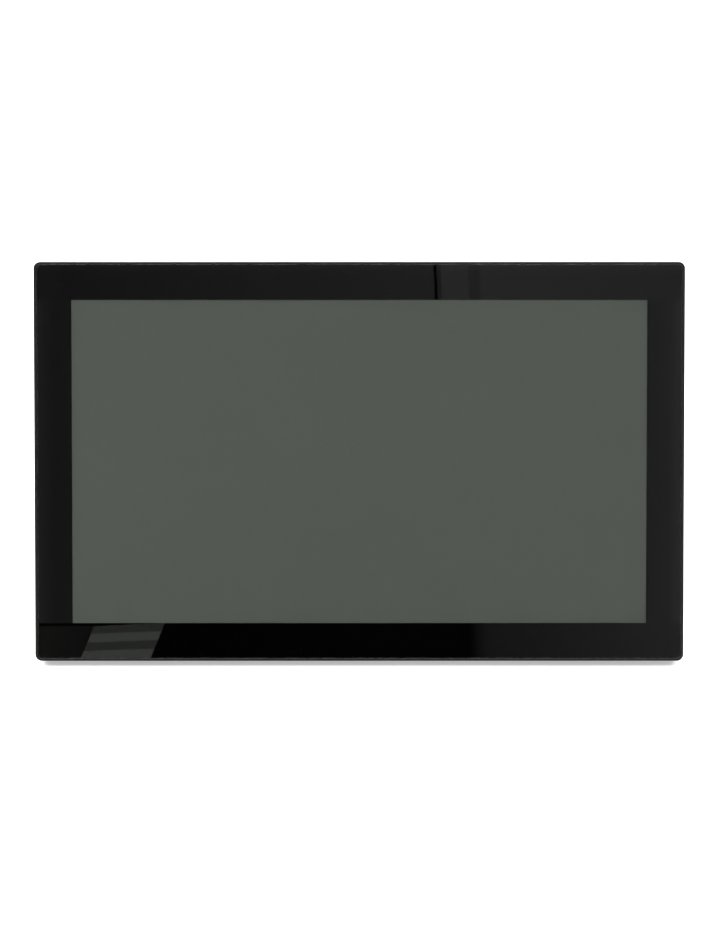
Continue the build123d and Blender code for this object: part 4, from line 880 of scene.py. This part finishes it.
# Signs on the cover beside the sockets: direct current, a screen, a plug and a card.
cover_high = housing_box("rear_cover")[1]
sign_u = socket_boxes["card_base"][1][0] - 0.0068
dashes = [[(x, -0.8), (x_end, -0.8)] for x, x_end in ((-2.2, -1.2), (-0.5, 0.5), (1.2, 2.2))]
socket_signs = {
    "power_inlet_sign": (housing_box("dc_jack"), [[(-2.2, 0.8), (2.2, 0.8)], *dashes]),
    "video_sign": (
        socket_boxes["video_shell"],
        strokes((-2.6, 2), (2.6, 2), (2.6, -1.2), (-2.6, -1.2), (-2.6, 2))
        + strokes((-1.2, -2.2), (1.2, -2.2)),
    ),
    "usb_sign": (
        socket_boxes["usb_shell"],
        strokes((-2.4, 1.4), (2.4, 1.4), (2.4, -1.4), (-2.4, -1.4), (-2.4, 1.4))
        + strokes((-1.4, 0.3), (1.4, 0.3)),
    ),
    "card_sign": (
        socket_boxes["card_base"],
        strokes((-1.8, 2.4), (0.9, 2.4), (1.8, 1.5), (1.8, -2.4), (-1.8, -2.4), (-1.8, 2.4)),
    ),
}
for sign_name, ((low, high), lines) in socket_signs.items():
    sign_v = (low[1] + high[1]) / 2
    printed_sign(sign_name, sign_u, sign_v, cover_high[2], lines, "housing")

# ---------------------------------------------------------------- speakers
# Moulded baskets with pressed paper cones. A disc of black woven cloth lies under each grille.
dress(
    moulding(
        "basket_black", (0.012,) * 3, (0.018,) * 3,
        satin=0.45, matt=0.6, grain=0.0003, relief=0.00002, wear=0.3, dust=0.2,
    ),
    "speaker_baskets",
)
paper, tree, shader = new_finish("cone_paper", Sheen_Weight=0.15)
fibres = noise(tree, 0.0006, 6.0)
fill(tree, shader, {"Base_Color": tint(tree, fibres, (0.018, 0.017, 0.016), (0.06, 0.057, 0.052))})
fill(tree, shader, {"Roughness": spread(tree, fibres, 0.3, 0.7, 0.8, 0.95)})
fill(tree, shader, {"Normal": put(tree, "Bump", Distance=0.0001, Height=fibres)})
dress(paper, "speaker_cones")

cloth, tree, shader = new_finish("grille_cloth", Sheen_Weight=0.3)
flat_on = put(tree, "Mapping", Vector=put(tree, "TexCoord", "Object"), Rotation=(lean, 0, 0))
thread_turns = math.pi / 0.0007
warp, weft = (
    sums(
        tree,
        "SINE",
        sums(tree, "MULTIPLY", put(tree, "SeparateXYZ", axis, in0=flat_on), thread_turns),
    )
    for axis in "XZ"
)
over = sums(tree, "MULTIPLY", warp, weft)
weave = sums(tree, "ABSOLUTE", over)
fuzz = noise(tree, 0.0003)
threads = sums(tree, "ADD", sums(tree, "MULTIPLY", weave, 0.8), sums(tree, "MULTIPLY", fuzz, 0.2))
fill(tree, shader, {"Base_Color": tint(tree, threads, (0.006, 0.006, 0.006), (0.035, 0.035, 0.036))})
fill(tree, shader, {"Roughness": spread(tree, threads, 0.0, 1.0, 0.7, 0.9)})
fill(tree, shader, {"Normal": put(tree, "Bump", Distance=0.00015, Height=threads)})

cone_low, cone_high = housing_box("speaker_cones")
cone_radius = (cone_high[1] - cone_low[1]) / 2
cloth_radius, cloth_back, cloth_sag = 0.0149, 0.00225, 0.0006
from_middle = np.array([0, 0.2, 0.45, 0.7, 0.9, 1.0, 1.0, 0.9, 0.7, 0.45, 0.2, 0])[:, None]
side = np.repeat([0.0, 0.00018], 6)[:, None]
turn = np.linspace(0, 2 * math.pi, 49)
disc_depth = cover_high[2] - cloth_back - side - cloth_sag * (1 - from_middle**2) + 0 * turn
discs = [
    housing_points(
        way * (cone_high[0] - cone_radius) + cloth_radius * from_middle * np.cos(turn),
        (cone_low[1] + cone_high[1]) / 2 + cloth_radius * from_middle * np.sin(turn),
        disc_depth,
    )
    for way in (-1, 1)
]
solid_object("grille_cloths", discs, "housing", cloth)

# ---------------------------------------------------------------- hinge
# A pressed steel bracket in the housing, a turned pin with its clip, and nylon washers.
dress(
    sheet_metal(
        "passivated_zinc", (0.42, 0.41, 0.36), (0.66, 0.64, 0.57),
        smooth=0.28, rough=0.45,
    ),
    "hinge_bracket",
)
dress(
    sheet_metal(
        "turned_steel", (0.42, 0.42, 0.43), (0.68, 0.68, 0.69),
        smooth=0.16, rough=0.3, stretch=(3500, 60, 60),
    ),
    "hinge_pin",
)
dress(
    sheet_metal(
        "spring_steel", (0.05, 0.052, 0.06), (0.14, 0.14, 0.15),
        smooth=0.3, rough=0.45, stretch=(500, 500, 500),
    ),
    "hinge_clip",
)
dress(
    moulding(
        "natural_nylon", (0.6, 0.58, 0.52), (0.7, 0.68, 0.62),
        satin=0.35, matt=0.5, grain=0.0004, relief=0.00001, wear=0.1, dust=0.1,
    ),
    "hinge_washers",
)

# ---------------------------------------------------------------- leg and feet
# The leg is moulded like the cover, a little smoother. Black rubber keeps it and the housing from
# sliding, and has picked up dust.
dress(
    moulding(
        "leg_black", (0.006,) * 3, (0.013,) * 3,
        satin=0.4, matt=0.55, grain=0.0004, relief=0.0001, wear=0.6, dust=0.3,
        Specular_IOR_Level=0.35,
    ),
    "stand_leg",
)
rubber = moulding(
    "foot_rubber", (0.014,) * 3, (0.024,) * 3,
    satin=0.75, matt=0.92, grain=0.0009, relief=0.00008, wear=0.25, dust=0.6,
)
dress(rubber, "rubber_feet", "stand_foot")
